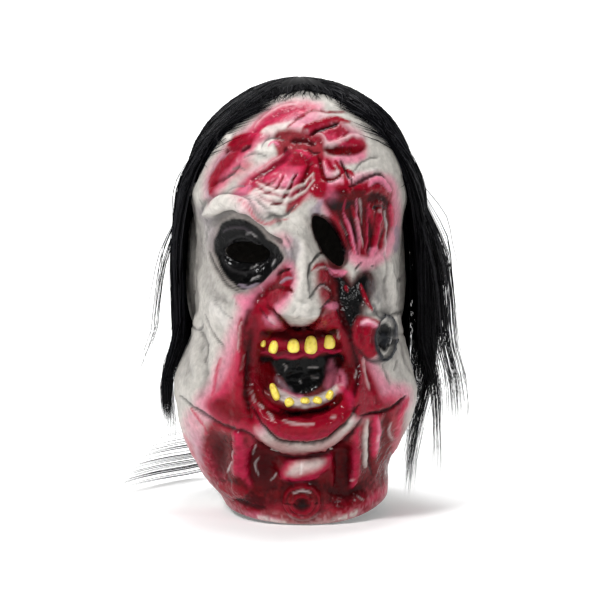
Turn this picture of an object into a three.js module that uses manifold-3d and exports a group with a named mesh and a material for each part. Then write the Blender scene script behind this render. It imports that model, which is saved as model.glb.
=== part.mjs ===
// Full-head zombie mask: a hollow latex casting with seated teeth and long synthetic hair.
// Millimetres, +Z up, the face towards -Y. The origin is where the wearer's crown meets the inside.
import * as THREE from 'three';
import { mergeVertices } from 'three/addons/utils/BufferGeometryUtils.js';
import Module from 'manifold-3d';

const wasm = await Module();
wasm.setup();

// Driving dimensions of the casting
const MASK_HEIGHT = 342;
const SKULL_BREADTH = 172;
const JAW_BREADTH = 191;
const NECK_BREADTH = 148;
const HEAD_DEPTH = 212;
const WALL = 2.4;
const HEM_RISE = 14;
const FOLD_RELIEF = 8;
const NOSE_REACH = 30;
const NOSE_BREADTH = 38;
const SOCKET_DEPTH = 13;
const MOUTH_BREADTH = 72;
const MOUTH_HEIGHT = 64;
const MOUTH_DEPTH = 27;
const EAR_HEIGHT = 88;
const EAR_DEPTH = 46;
const EAR_REACH = 9;
const BOSS_DIAMETER = 30;
const RING_HEIGHT = 35;
const RING_BREADTH = 25;

// Eye openings: each is an ellipse cut straight through from the front
const LEFT_EYE_LENGTH = 33;
const LEFT_EYE_WIDTH = 15;
const RIGHT_EYE_LENGTH = 42;
const RIGHT_EYE_WIDTH = 14;

// Gums, teeth and their seats
const GUM_THICKNESS = 11;
const UPPER_GUM_HEIGHT = 17;
const LOWER_GUM_HEIGHT = 13;
const TOOTH_DEPTH = 7;
const SEAT_GAP = 0.3;

// Hair
const HAIR_THICKNESS = 6;
const HAIR_CLEARANCE = 3.8;
const LOCK_BREADTH = 41;
const LOCK_THICKNESS = 9;
const HAIR_SPREAD = 15;

// Fineness of the faceted surface
const SKIN_COLUMNS = 38;
const FRONT_CROWDING = 0.54;
const SQUARENESS = 2.25;
const PROBE = 0.004;

const RAD = Math.PI / 180;

/** Rows of numbers as objects, under the names of the columns. */
function table(columns, ...rows) {
  return rows.map((row) => Object.fromEntries(columns.map((name, i) => [name, row[i]])));
}

// Plan sections from the crown down. level is a share of MASK_HEIGHT. centre and half are shares of
// the breadth that the row follows. front, back and shift are shares of HEAD_DEPTH. rows is the
// number of rows of facets down to that section.
const SECTIONS = table(
  ['level', 'breadth', 'centre', 'half', 'front', 'back', 'shift', 'rows'],
  [0, SKULL_BREADTH, 0.012, 0, 0, 0, 0.024, 0],
  [0.0018, SKULL_BREADTH, 0.012, 0.058, 0.052, 0.052, 0.024, 1],
  [0.0088, SKULL_BREADTH, 0.014, 0.13, 0.118, 0.118, 0.022, 1],
  [0.0234, SKULL_BREADTH, 0.016, 0.209, 0.193, 0.193, 0.019, 1],
  [0.0433, SKULL_BREADTH, 0.018, 0.279, 0.26, 0.26, 0.016, 1],
  [0.0901, SKULL_BREADTH, 0.018, 0.39, 0.358, 0.36, 0.012, 1],
  [0.1368, SKULL_BREADTH, 0.014, 0.453, 0.415, 0.42, 0.008, 1],
  [0.1836, SKULL_BREADTH, 0.012, 0.488, 0.453, 0.458, 0.004, 1],
  [0.2304, SKULL_BREADTH, 0.006, 0.498, 0.478, 0.486, 0, 1],
  [0.2772, SKULL_BREADTH, 0.004, 0.498, 0.492, 0.5, 0, 1],
  [0.31, SKULL_BREADTH, 0.003, 0.488, 0.5, 0.505, 0, 1],
  [0.394, SKULL_BREADTH, 0, 0.477, 0.49, 0.5, 0, 4],
  [0.511, SKULL_BREADTH, -0.003, 0.477, 0.492, 0.476, 0, 5],
  [0.581, SKULL_BREADTH, 0.002, 0.49, 0.488, 0.453, 0, 3],
  [0.628, JAW_BREADTH, -0.006, 0.467, 0.484, 0.434, 0, 2],
  [0.675, JAW_BREADTH, -0.013, 0.49, 0.482, 0.415, 0, 2],
  [0.71, JAW_BREADTH, -0.012, 0.5, 0.48, 0.406, 0, 2],
  [0.745, JAW_BREADTH, -0.008, 0.496, 0.476, 0.396, 0, 2],
  [0.792, JAW_BREADTH, -0.014, 0.482, 0.462, 0.382, 0, 2],
  [0.8386, JAW_BREADTH, -0.018, 0.452, 0.415, 0.373, 0, 2],
  [0.8854, NECK_BREADTH, -0.02, 0.536, 0.377, 0.358, 0, 1],
  [0.932, NECK_BREADTH, -0.005, 0.5, 0.358, 0.344, 0, 2],
  [0.979, NECK_BREADTH, 0.037, 0.456, 0.349, 0.33, 0, 1],
  [1, NECK_BREADTH, 0.047, 0.439, 0.344, 0.325, 0, 1],
);

// Soft swellings and hollows of the face and bib, seen from the front. across is a share of
// SKULL_BREADTH and level of MASK_HEIGHT, wide and tall are half sizes in the same shares, lean is
// in degrees from upright towards +X at the top, and rise is a share of FOLD_RELIEF.
const FOLDS = table(
  ['across', 'level', 'wide', 'tall', 'lean', 'rise'],
  [-0.277, 0.283, 0.15, 0.026, 14, 1.3], // left brow
  [0.18, 0.258, 0.15, 0.034, -4, 1.2], // right brow
  [-0.303, 0.508, 0.11, 0.052, 0, 0.8], // left cheek
  [0.3, 0.5, 0.09, 0.05, 0, 0.5], // right cheek
  [-0.25, 0.603, 0.042, 0.14, 4, 1.0], // left fold beside the mouth
  [0.214, 0.646, 0.042, 0.11, -4, 0.9], // right fold beside the mouth
  [-0.004, 0.76, 0.19, 0.022, 0, 1.1], // lower lip
  [-0.01, 0.795, 0.17, 0.026, 0, 0.9], // chin
  [-0.01, 0.835, 0.26, 0.018, 0, -0.6], // crease under the chin
  [-0.47, 0.707, 0.1, 0.06, 0, 0.5], // left jowl
  [0.45, 0.715, 0.1, 0.06, 0, 0.4], // right jowl
  [-0.268, 0.845, 0.036, 0.058, 0, 0.8], // left tendon
  [0.242, 0.855, 0.036, 0.07, 0, 0.7], // right tendon
  [-0.158, 0.868, 0.044, 0.05, 0, -0.7], // hollow beside the left tendon
  [0.176, 0.873, 0.036, 0.055, 0, -0.7], // hollow beside the right tendon
  [-0.37, 0.833, 0.05, 0.053, 0, -0.6], // hollow under the left jowl
  [0.018, 0.868, 0.1, 0.024, 0, 0.5], // collar bone patch
  [-0.246, 0.917, 0.06, 0.03, 0, 0.6], // left bump on the bib
  [-0.06, 0.155, 0.08, 0.026, 0, -0.3], // wound in the forehead
);

// Places on the face: across is a share of SKULL_BREADTH, level of MASK_HEIGHT
const NOSE = { across: -0.008, rootLevel: 0.335, tipLevel: 0.517, baseLevel: 0.553 };
const MOUTH = { across: -0.003, level: 0.648 };
const LEFT_EYE = { across: -0.238, level: 0.391, lean: 93 };
const RIGHT_EYE = { across: 0.113, level: 0.364, lean: -29 };
const BOSS = { across: 0.006, level: 0.944 };
const CHEEK_RING = { across: 0.35, level: 0.577 };
const EAR_LEVEL = 0.44;

// Teeth: across and drop are shares of MOUTH_BREADTH and MOUTH_HEIGHT from the mouth's centre,
// wide and tall are the same shares, lean is in degrees
const UPPER_TEETH = table(
  ['across', 'drop', 'wide', 'tall', 'lean'],
  [-0.395, -0.325, 0.066, 0.11, 4],
  [-0.285, -0.275, 0.094, 0.155, 14],
  [-0.08, -0.295, 0.125, 0.165, 0],
  [0.1, -0.305, 0.132, 0.215, 0],
  [0.295, -0.335, 0.125, 0.17, 0],
);
const LOWER_TEETH = table(
  ['across', 'drop', 'wide', 'tall', 'lean'],
  [-0.275, 0.25, 0.082, 0.215, -20],
  [-0.125, 0.365, 0.1, 0.105, -30],
  [0.04, 0.345, 0.098, 0.075, 4],
  [0.17, 0.345, 0.098, 0.085, 8],
  [0.3, 0.29, 0.078, 0.12, 24],
);

// Where the hair cap ends: level (share of MASK_HEIGHT) at each turn from the face
const HAIRLINE = table(
  ['turn', 'level'],
  [0, 0.03],
  [25, 0.05],
  [42, 0.095],
  [57, 0.185],
  [69, 0.25],
  [85, 0.29],
  [105, 0.3],
  [125, 0.4],
  [180, 0.47],
);

// Free locks. start, middle and tip are turns in degrees from the face, end is the level of the tip,
// spread and tipSpread are shares of HAIR_SPREAD outside the widest head above, and broad and thick
// are shares of LOCK_BREADTH and LOCK_THICKNESS.
const LOCKS = table(
  ['start', 'middle', 'tip', 'top', 'end', 'spread', 'tipSpread', 'broad', 'thick'],
  [-55, -86, -84, 0.14, 0.79, 0.9, 0.6, 0.6, 1],
  [-84, -96, -96, 0.2, 0.83, 1.0, 0.5, 0.75, 1],
  [-102, -110, -106, 0.22, 0.77, 0.8, 0.5, 0.95, 1],
  [-126, -130, -132, 0.3, 0.78, 0.6, 0.6, 1.2, 1.1],
  [-148, -151, -150, 0.3, 0.97, 0.5, 0.9, 1.3, 1.2],
  [-171, -173, -170, 0.3, 0.99, 0.5, 1.1, 1.3, 1.2],
  [166, 165, 168, 0.3, 0.98, 0.5, 1, 1.3, 1.2],
  [143, 144, 146, 0.3, 0.97, 0.5, 0.9, 1.3, 1.2],
  [121, 124, 126, 0.28, 0.8, 0.7, 0.8, 1.2, 1.1],
  [101, 104, 102, 0.22, 0.8, 1.3, 0.9, 0.95, 1],
  [84, 88, 88, 0.2, 0.8, 1.0, 0.8, 0.75, 1],
  [55, 80, 86, 0.14, 0.8, 0.8, 1.0, 0.6, 1],
  [95, 96, 106, 0.24, 0.99, 2.6, -0.6, 0.4, 0.6],
);
const LOCK_STATIONS = 7;
const LOCK_SIDES = 6;

// The lock that lies out to the left at the level of the hem: turn, level, distance from the axis
const FLOOR_LOCK_WIDTH = 9;
const FLOOR_LOCK = table(
  ['turn', 'level', 'reach'],
  [-172, 0.5, 0.566],
  [-170, 0.75, 0.575],
  [-160, 0.94, 0.68],
  [-150, 0.985, 0.8],
  [-130, 0.987, 0.77],
  [-112, 0.987, 0.76],
);

/** Smooth step from 0 at low to 1 at high. */
function ease(low, high, value) {
  return THREE.MathUtils.smoothstep(value, low, high);
}

/** Cubic through a table's column, with the spacing of the rows counted in `at`. */
function along(rows, at, value, where) {
  const last = rows.length - 1;
  let i = 0;
  while (i < last - 1 && where > at(rows[i + 1])) i += 1;
  const slope = (k) => {
    const a = Math.max(k - 1, 0);
    const b = Math.min(k + 1, last);
    return (value(rows[b]) - value(rows[a])) / (at(rows[b]) - at(rows[a]));
  };
  const span = at(rows[i + 1]) - at(rows[i]);
  const t = THREE.MathUtils.clamp((where - at(rows[i])) / span, 0, 1);
  const rest = 1 - t;
  const from = value(rows[i]) * (1 + 2 * t) * rest * rest + slope(i) * span * t * rest * rest;
  const to = value(rows[i + 1]) * t * t * (3 - 2 * t) - slope(i + 1) * span * t * t * rest;
  return from + to;
}

/** The plan section at a level, in millimetres. The square root keeps the dome round. */
function section(level) {
  const at = (row) => Math.sqrt(row.level);
  const read = (value) => along(SECTIONS, at, value, Math.sqrt(level));
  return {
    centre: read((row) => row.centre * row.breadth),
    half: read((row) => row.half * row.breadth),
    front: read((row) => row.front * HEAD_DEPTH),
    back: read((row) => row.back * HEAD_DEPTH),
    shift: read((row) => row.shift * HEAD_DEPTH),
  };
}

/** Height of a level. The hem rises at the sides, more on the right. */
function heightAt(turn, level) {
  const side = Math.sin(turn);
  const rise = HEM_RISE * side * side * (side > 0 ? 1 : 0.4) * ease(0.8, 1, level);
  return WALL - MASK_HEIGHT * level + rise;
}

/** A point of the plain head, before its folds, and the way it faces in plan. */
function plainPoint(turn, level) {
  const plan = section(level);
  const power = 2 / SQUARENESS;
  const sine = Math.sin(turn);
  const cosine = Math.cos(turn);
  const depth = cosine > 0 ? plan.front : plan.back;
  const x = plan.centre + plan.half * Math.sign(sine) * Math.abs(sine) ** power;
  const y = plan.shift - depth * Math.sign(cosine) * Math.abs(cosine) ** power;
  const outward = new THREE.Vector3(sine * depth, -cosine * plan.half, 0).normalize();
  return { point: new THREE.Vector3(x, y, heightAt(turn, level)), outward };
}

/** Distance of a point from a fold's middle, 1 on its edge. */
function spanOf(fold, x, level) {
  const lean = fold.lean * RAD;
  const dx = x - fold.across * SKULL_BREADTH;
  const dz = (fold.level - level) * MASK_HEIGHT;
  const u = dx * Math.cos(lean) - dz * Math.sin(lean);
  const v = dx * Math.sin(lean) + dz * Math.cos(lean);
  return Math.hypot(u / (fold.wide * SKULL_BREADTH), v / (fold.tall * MASK_HEIGHT));
}

/** The nose: a ridge that widens and rises from its root to the tip, then turns under. */
function noseRise(x, level) {
  const run = (level - NOSE.rootLevel) / (NOSE.tipLevel - NOSE.rootLevel);
  if (run < -0.3 || level > NOSE.baseLevel + 0.02) return 0;
  const climb = run < 0 ? 0.2 * (1 + run / 0.3) : 0.2 + 0.8 * Math.min(run, 1) ** 1.25;
  const under = 1 - ease(NOSE.tipLevel, NOSE.baseLevel + 0.012, level);
  const half = NOSE_BREADTH * (0.3 + 0.22 * THREE.MathUtils.clamp(run, 0, 1));
  const side = Math.abs(x - NOSE.across * SKULL_BREADTH) / half;
  return NOSE_REACH * climb * under * Math.exp(-(side ** 2.6));
}

/** How far the skin stands out from the plain head at a place seen from the front. */
function relief(x, level) {
  let rise = noseRise(x, level);
  for (const fold of FOLDS) rise += fold.rise * FOLD_RELIEF * Math.exp(-(spanOf(fold, x, level) ** 2));
  const left = spanOf({ ...LEFT_EYE, lean: 0, wide: 0.14, tall: 0.066 }, x, level);
  const right = spanOf({ ...RIGHT_EYE, wide: 0.075, tall: 0.068 }, x, level);
  rise -= SOCKET_DEPTH * Math.exp(-(left ** 3)) + 0.75 * SOCKET_DEPTH * Math.exp(-(right ** 3));
  const dx = (x - MOUTH.across * SKULL_BREADTH) / (MOUTH_BREADTH / 2);
  const dz = ((level - MOUTH.level) * MASK_HEIGHT) / (MOUTH_HEIGHT / 2);
  rise -= MOUTH_DEPTH * Math.exp(-(Math.hypot(dx, dz) ** 5));
  return rise;
}

/** A point of the finished outer skin. */
function skinPoint(turn, level) {
  const { point, outward } = plainPoint(turn, level);
  const facing = ease(-0.15, 0.25, Math.cos(turn));
  return point.addScaledVector(outward, facing * relief(point.x, level));
}

/** The skin's outward normal, from its neighbours. */
function skinNormal(turn, level) {
  const sideways = skinPoint(turn + PROBE * 4, level).sub(skinPoint(turn - PROBE * 4, level));
  const up = skinPoint(turn, Math.max(level - PROBE, 0)).sub(skinPoint(turn, Math.min(level + PROBE, 1)));
  const normal = sideways.cross(up).normalize();
  if (level > 0.999) normal.setZ(0).normalize();
  return normal;
}

/** Turn on the front of the plain head at a distance across. */
function turnAcross(x, level) {
  const plan = section(level);
  const share = THREE.MathUtils.clamp((x - plan.centre) / plan.half, -1, 1);
  return Math.asin(Math.sign(share) * Math.abs(share) ** (SQUARENESS / 2));
}

/** A frame on the skin at a place seen from the front: z out of the skin, y up along it. */
function skinFrame(across, level) {
  const turn = turnAcross(across * SKULL_BREADTH, level);
  const point = skinPoint(turn, level);
  const out = plainPoint(turn, level).outward;
  const right = new THREE.Vector3(0, 0, 1).cross(out).normalize();
  const up = out.clone().cross(right);
  return new THREE.Matrix4().makeBasis(right, up, out).setPosition(point);
}

/** A closed surface from a stack of rings of points with a single point at each end. */
function ringSolid(first, rings, last) {
  const points = [first, ...rings.flat(), last];
  const count = rings[0].length;
  const index = [];
  for (let i = 0; i < count; i += 1) {
    const next = (i + 1) % count;
    const end = 1 + (rings.length - 1) * count;
    index.push(0, 1 + i, 1 + next, points.length - 1, end + next, end + i);
    for (let r = 0; r + 1 < rings.length; r += 1) {
      const a = 1 + r * count;
      const b = a + count;
      index.push(a + i, b + i, b + next, a + i, b + next, a + next);
    }
  }
  const corners = [0, 1, 2].map(() => new THREE.Vector3());
  let volume = 0;
  for (let i = 0; i < index.length; i += 3) {
    corners.forEach((corner, k) => corner.copy(points[index[i + k]]));
    volume += corners[0].dot(corners[1].cross(corners[2]));
  }
  if (volume < 0) index.reverse();
  const geometry = new THREE.BufferGeometry().setFromPoints(points);
  return geometry.setIndex(index);
}

/** A manifold-3d solid of a closed geometry. */
function solidOf(geometry) {
  const bare = geometry.clone();
  bare.deleteAttribute('normal');
  bare.deleteAttribute('uv');
  const merged = mergeVertices(bare, 1e-4);
  const mesh = new wasm.Mesh({
    numProp: 3,
    vertProperties: new Float32Array(merged.attributes.position.array),
    triVerts: new Uint32Array(merged.index.array),
  });
  return new wasm.Manifold(mesh);
}

/** The geometry of a manifold-3d solid. */
function geometryOf(solid) {
  const mesh = solid.getMesh();
  const geometry = new THREE.BufferGeometry();
  geometry.setAttribute('position', new THREE.BufferAttribute(mesh.vertProperties, 3));
  geometry.setIndex(new THREE.BufferAttribute(mesh.triVerts, 1));
  geometry.computeVertexNormals();
  return geometry;
}

/** Turns round the head, closer together over the face. */
function skinTurns() {
  return Array.from({ length: SKIN_COLUMNS }, (_, i) => {
    const full = (2 * Math.PI * i) / SKIN_COLUMNS;
    return full - FRONT_CROWDING * Math.sin(full);
  });
}

/** Levels of the rows of facets, from the table of sections. */
function skinLevels() {
  const levels = [];
  SECTIONS.slice(1).forEach((row, i) => {
    const from = SECTIONS[i].level;
    for (let k = 1; k <= row.rows; k += 1) levels.push(from + ((row.level - from) * k) / row.rows);
  });
  return levels;
}

/** The hollow head: the outer skin down to the hem, then the inner skin back up. */
function headShell() {
  const turns = skinTurns();
  const levels = skinLevels();
  const outer = levels.map((level) => turns.map((turn) => skinPoint(turn, level)));
  const inner = levels.map((level) => turns.map((turn) => {
    return skinPoint(turn, level).addScaledVector(skinNormal(turn, level), -WALL);
  }));
  const crown = skinPoint(0, 0);
  const inside = crown.clone().setZ(crown.z - WALL);
  return solidOf(ringSolid(crown, [...outer, ...inner.reverse()], inside));
}

/** A rounded body given by its half sizes, with rings along local z. */
function roundBody(half, sides, rows, bend = (point) => point) {
  const rings = [];
  for (let r = 1; r < rows; r += 1) {
    const lift = (Math.PI * r) / rows;
    rings.push(Array.from({ length: sides }, (_, i) => {
      const round = (2 * Math.PI * (i + 0.5)) / sides;
      const x = half.x * Math.sin(lift) * Math.cos(round);
      const y = half.y * Math.sin(lift) * Math.sin(round);
      return bend(new THREE.Vector3(x, y, half.z * Math.cos(lift)));
    }));
  }
  const first = bend(new THREE.Vector3(0, 0, half.z));
  const last = bend(new THREE.Vector3(0, 0, -half.z));
  return ringSolid(first, rings, last);
}

/** An ear on one side: a flat rounded body with a hollow in its outer face. */
function ear(side) {
  const half = new THREE.Vector3(EAR_REACH, EAR_DEPTH / 2, EAR_HEIGHT / 2);
  const root = plainPoint(side * 95 * RAD, EAR_LEVEL).point;
  const shaped = roundBody(half, 8, 6, (point) => {
    const up = point.z / half.z;
    const back = point.y / half.y;
    const hollow = 0.55 * EAR_REACH * Math.exp(-((back / 0.5) ** 2) - (((up - 0.25) / 0.4) ** 2));
    const narrow = 1 - 0.3 * ease(0, -1, up);
    const x = side * (point.x - (point.x > 0 ? hollow : 0) + 0.25 * EAR_REACH * back);
    return new THREE.Vector3(x, point.y * narrow, point.z);
  });
  return solidOf(shaped.translate(root.x - side * 0.1 * EAR_REACH, root.y, root.z));
}

/** A ringed round boss on a frame of the skin: its profile is turned about the frame's z. */
function ringedBoss(frame, breadth, height, profile, sides) {
  const points = profile.map(([radius, rise]) => new THREE.Vector2(radius / 2, rise));
  const turned = new THREE.LatheGeometry(points, sides).rotateX(Math.PI / 2);
  return solidOf(turned.scale(breadth, height, 1).applyMatrix4(frame));
}

/** Depth of a gum's front face at a distance across the mouth. */
function gumFace(x) {
  const share = (x - MOUTH.across * SKULL_BREADTH) / (MOUTH_BREADTH / 2);
  const lips = plainPoint(turnAcross(MOUTH.across * SKULL_BREADTH, MOUTH.level), MOUTH.level).point.y;
  return lips + 0.16 * MOUTH_DEPTH + 0.5 * MOUTH_DEPTH * share * share;
}

/** A gum: a rounded bar that follows the arch of the mouth. arch lifts its ends. */
function gum(drop, height, arch, stretch) {
  const rings = [];
  const stations = 7;
  const sides = 8;
  for (let s = 0; s <= stations; s += 1) {
    const share = (2 * s) / stations - 1;
    const x = MOUTH.across * SKULL_BREADTH + (share * stretch * MOUTH_BREADTH) / 2;
    const middle = WALL - MASK_HEIGHT * MOUTH.level - drop * MOUTH_HEIGHT + arch * MOUTH_HEIGHT * share * share;
    const fade = 1 - 0.35 * share ** 4;
    rings.push(Array.from({ length: sides }, (_, i) => {
      const round = (2 * Math.PI * (i + 0.5)) / sides;
      const y = gumFace(x) + (GUM_THICKNESS / 2) * (1 - Math.cos(round) * fade);
      return new THREE.Vector3(x, y, middle + (height / 2) * Math.sin(round) * fade);
    }));
  }
  const centre = (ring) => ring.reduce((sum, p) => sum.add(p), new THREE.Vector3()).divideScalar(ring.length);
  return solidOf(ringSolid(centre(rings[0]), rings, centre(rings[stations])));
}

/** A tooth, or with a clearance the seat that it sits in. */
function tooth(place, clearance) {
  const half = new THREE.Vector3(
    (place.wide * MOUTH_BREADTH) / 2 + clearance,
    TOOTH_DEPTH / 2 + clearance,
    (place.tall * MOUTH_HEIGHT) / 2 + clearance,
  );
  const x = (MOUTH.across * SKULL_BREADTH) + place.across * MOUTH_BREADTH;
  const z = WALL - MASK_HEIGHT * MOUTH.level - place.drop * MOUTH_HEIGHT;
  const body = roundBody(half, 8, 4, (point) => {
    const full = 1 - 0.12 * (point.z / half.z);
    return point.multiply(new THREE.Vector3(full, full, 1));
  });
  body.rotateY(place.lean * RAD);
  return solidOf(body.translate(x, gumFace(x) + 0.08 * TOOTH_DEPTH, z));
}

/** A cutter for an eye opening: an ellipse carried straight back from before the face. */
function eyeCutter(eye, length, width) {
  const outline = new THREE.Shape().absellipse(0, 0, width / 2, length / 2, 0, 2 * Math.PI);
  const depth = HEAD_DEPTH * 0.3;
  const cutter = new THREE.ExtrudeGeometry(outline, { depth, bevelEnabled: false, curveSegments: 8 });
  cutter.rotateX(Math.PI / 2).rotateY(eye.lean * RAD);
  const y = -HEAD_DEPTH * 0.3;
  return solidOf(cutter.translate(eye.across * SKULL_BREADTH, y, WALL - MASK_HEIGHT * eye.level));
}

/** Level at which the hair cap ends. */
function hairEdge(turn) {
  const degrees = Math.abs(THREE.MathUtils.euclideanModulo(turn / RAD + 180, 360) - 180);
  return along(HAIRLINE, (row) => row.turn, (row) => row.level, degrees);
}

/** A point off the plain head by a distance square to it, measured from the middle of the skull. */
function offHead(turn, level, distance) {
  const { point } = plainPoint(turn, level);
  const middle = new THREE.Vector3(0, 0, Math.max(point.z, 0) - 0.3 * MASK_HEIGHT);
  if (level > 0.3) middle.z = point.z;
  return point.addScaledVector(point.clone().sub(middle).normalize(), distance);
}

/** The cap of hair: from the crown out to the hairline, then back under itself. */
function hairCap() {
  const columns = 30;
  const rows = 5;
  const turns = Array.from({ length: columns }, (_, i) => (2 * Math.PI * (i + 0.5)) / columns);
  const ringAt = (share, stand) => turns.map((turn, i) => {
    const level = hairEdge(turn) * share * share;
    return offHead(turn, level, stand(i, share));
  });
  const ridge = (i) => (i % 2 ? 1 : 0.6);
  const outside = (i, share) => HAIR_CLEARANCE + HAIR_THICKNESS * ridge(i) * (1 - 0.55 * share ** 4);
  const shares = Array.from({ length: rows }, (_, r) => (r + 1) / rows);
  const top = shares.map((share) => ringAt(share, outside));
  const under = shares.map((share) => ringAt(share, () => HAIR_CLEARANCE));
  const crown = plainPoint(0, 0).point;
  const peak = crown.clone().setZ(crown.z + HAIR_CLEARANCE + 0.8 * HAIR_THICKNESS);
  const below = crown.clone().setZ(crown.z + HAIR_CLEARANCE);
  return solidOf(ringSolid(peak, [...top, ...under.reverse()], below));
}

/** Distance that hair hangs from the head's axis: outside the widest of the head above it. */
function hangReach(turn, level) {
  let widest = 0;
  for (let k = 1; k <= 12; k += 1) {
    const { point } = plainPoint(turn, (level * k) / 12);
    widest = Math.max(widest, Math.hypot(point.x, point.y));
  }
  return widest;
}

/** A lock along a list of points, flat against the head, with a tapered section. */
function lockSolid(points, breadth, thickness) {
  const curve = new THREE.CatmullRomCurve3(points, false, 'centripetal');
  const rings = [];
  for (let s = 0; s <= LOCK_STATIONS; s += 1) {
    const share = s / LOCK_STATIONS;
    const middle = curve.getPointAt(share);
    const ahead = curve.getTangentAt(share);
    const out = new THREE.Vector3(middle.x, middle.y, 0).normalize();
    const across = ahead.clone().cross(out).normalize();
    const away = across.clone().cross(ahead).normalize();
    const full = (0.75 + 0.25 * ease(0, 0.3, share)) * (1 - 0.62 * ease(0.55, 1, share));
    rings.push(Array.from({ length: LOCK_SIDES }, (_, i) => {
      const round = (2 * Math.PI * (i + 0.5)) / LOCK_SIDES;
      return middle.clone()
        .addScaledVector(across, (breadth / 2) * full * Math.cos(round))
        .addScaledVector(away, (thickness / 2) * full * Math.sin(round));
    }));
  }
  return solidOf(ringSolid(points[0], rings, points[points.length - 1]));
}

/** A free lock: over the edge of the cap, then down outside the head to its tip. */
function hangingLock(lock) {
  const thickness = lock.thick * LOCK_THICKNESS;
  const seat = HAIR_CLEARANCE + thickness / 2;
  const root = offHead(lock.start * RAD, lock.top, seat * 0.9);
  const points = [root];
  for (let k = 1; k <= 5; k += 1) {
    const share = k / 5;
    const level = lock.top + (lock.end - lock.top) * share;
    const swing = ease(0, 0.5, share);
    const fall = ease(0.4, 1, share);
    const turn = THREE.MathUtils.lerp(
      THREE.MathUtils.lerp(lock.start, lock.middle, swing), lock.tip, fall) * RAD;
    const spread = THREE.MathUtils.lerp(lock.spread * ease(0, 0.3, share), lock.tipSpread, fall);
    const reach = hangReach(turn, level) + seat + HAIR_SPREAD * spread;
    points.push(new THREE.Vector3(reach * Math.sin(turn), -reach * Math.cos(turn), WALL - MASK_HEIGHT * level));
  }
  return lockSolid(points, lock.broad * LOCK_BREADTH, thickness);
}

/** The lock that lies out to the left beside the hem. */
function floorLock() {
  const points = FLOOR_LOCK.map((row) => {
    const reach = row.reach * HEAD_DEPTH;
    const turn = row.turn * RAD;
    return new THREE.Vector3(reach * Math.sin(turn), -reach * Math.cos(turn), WALL - MASK_HEIGHT * row.level);
  });
  return lockSolid(points, FLOOR_LOCK_WIDTH, FLOOR_LOCK_WIDTH * 0.7);
}

/** A named mesh with its own finish. */
function piece(name, solid, colour, roughness) {
  const material = new THREE.MeshStandardMaterial({ color: colour, roughness, metalness: 0 });
  const mesh = new THREE.Mesh(geometryOf(solid), material);
  mesh.name = name;
  return mesh;
}

// Profiles turned for the boss and the ring: share of the diameter, height in shares of FOLD_RELIEF
const RINGS = [[0, -0.25], [1, -0.25], [1, 0.05], [0.88, 0.4], [0.74, 0.3], [0.62, 0.55],
  [0.46, 0.4], [0.34, 0.6], [0, 0.42]].map(([share, rise]) => [share, rise * FOLD_RELIEF]);
const DISH = [[0, -0.25], [1, -0.25], [1, 0.1], [0.86, 0.42], [0.66, 0.36], [0.4, 0.1], [0, 0.05]]
  .map(([share, rise]) => [share, rise * FOLD_RELIEF]);

/** The whole casting with its gums, ears, boss, cheek ring, eye openings and seats for the teeth. */
function castHead(teeth) {
  let head = headShell()
    .add(ear(-1))
    .add(ear(1))
    .add(ringedBoss(skinFrame(BOSS.across, BOSS.level), BOSS_DIAMETER, BOSS_DIAMETER, RINGS, 12))
    .add(ringedBoss(skinFrame(CHEEK_RING.across, CHEEK_RING.level), RING_BREADTH, RING_HEIGHT, DISH, 12))
    .add(gum(-0.36, UPPER_GUM_HEIGHT, 0, 1.02))
    .add(gum(0.42, LOWER_GUM_HEIGHT, 0.2, 1.0))
    .subtract(eyeCutter(LEFT_EYE, LEFT_EYE_LENGTH, LEFT_EYE_WIDTH))
    .subtract(eyeCutter(RIGHT_EYE, RIGHT_EYE_LENGTH, RIGHT_EYE_WIDTH));
  for (const place of teeth) head = head.subtract(tooth(place, SEAT_GAP));
  return head;
}

/** The hair: its cap with every lock fused to it. */
function wholeHair() {
  let hair = hairCap();
  for (const lock of LOCKS) hair = hair.add(hangingLock(lock));
  return hair.add(floorLock());
}

const group = new THREE.Group();
group.add(piece('head_shell', castHead([...UPPER_TEETH, ...LOWER_TEETH]), 0xd6d3cf, 0.4));
UPPER_TEETH.forEach((place, i) => group.add(piece(`upper_tooth_${i + 1}`, tooth(place, 0), 0xf6e25f, 0.3)));
LOWER_TEETH.forEach((place, i) => group.add(piece(`lower_tooth_${i + 1}`, tooth(place, 0), 0xf6e25f, 0.3)));
group.add(piece('hair', wholeHair(), 0x15141a, 0.5));

export default group;
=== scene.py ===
"""Dresses a full-head latex zombie mask: painted skin, yellow teeth, long black hair and a white studio."""

import logging
import math
from dataclasses import dataclass, field
from enum import Enum
from typing import ClassVar

import bpy
import numpy as np
from mathutils import Matrix, Vector


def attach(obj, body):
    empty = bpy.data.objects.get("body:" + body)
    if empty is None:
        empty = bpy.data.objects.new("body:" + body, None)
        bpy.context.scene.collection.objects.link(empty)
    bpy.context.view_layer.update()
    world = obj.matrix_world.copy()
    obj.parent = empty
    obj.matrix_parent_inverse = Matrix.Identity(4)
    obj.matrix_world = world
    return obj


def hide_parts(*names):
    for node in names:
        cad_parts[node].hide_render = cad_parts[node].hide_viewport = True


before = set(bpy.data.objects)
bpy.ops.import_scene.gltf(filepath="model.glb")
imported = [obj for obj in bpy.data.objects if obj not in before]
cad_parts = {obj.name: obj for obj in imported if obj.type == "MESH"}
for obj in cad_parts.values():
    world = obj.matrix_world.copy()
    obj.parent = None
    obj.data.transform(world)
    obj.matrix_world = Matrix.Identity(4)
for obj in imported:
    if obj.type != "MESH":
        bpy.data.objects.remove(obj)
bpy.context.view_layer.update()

LOG = logging.getLogger("mask")
MM = 0.001
SEED = 7

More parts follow.
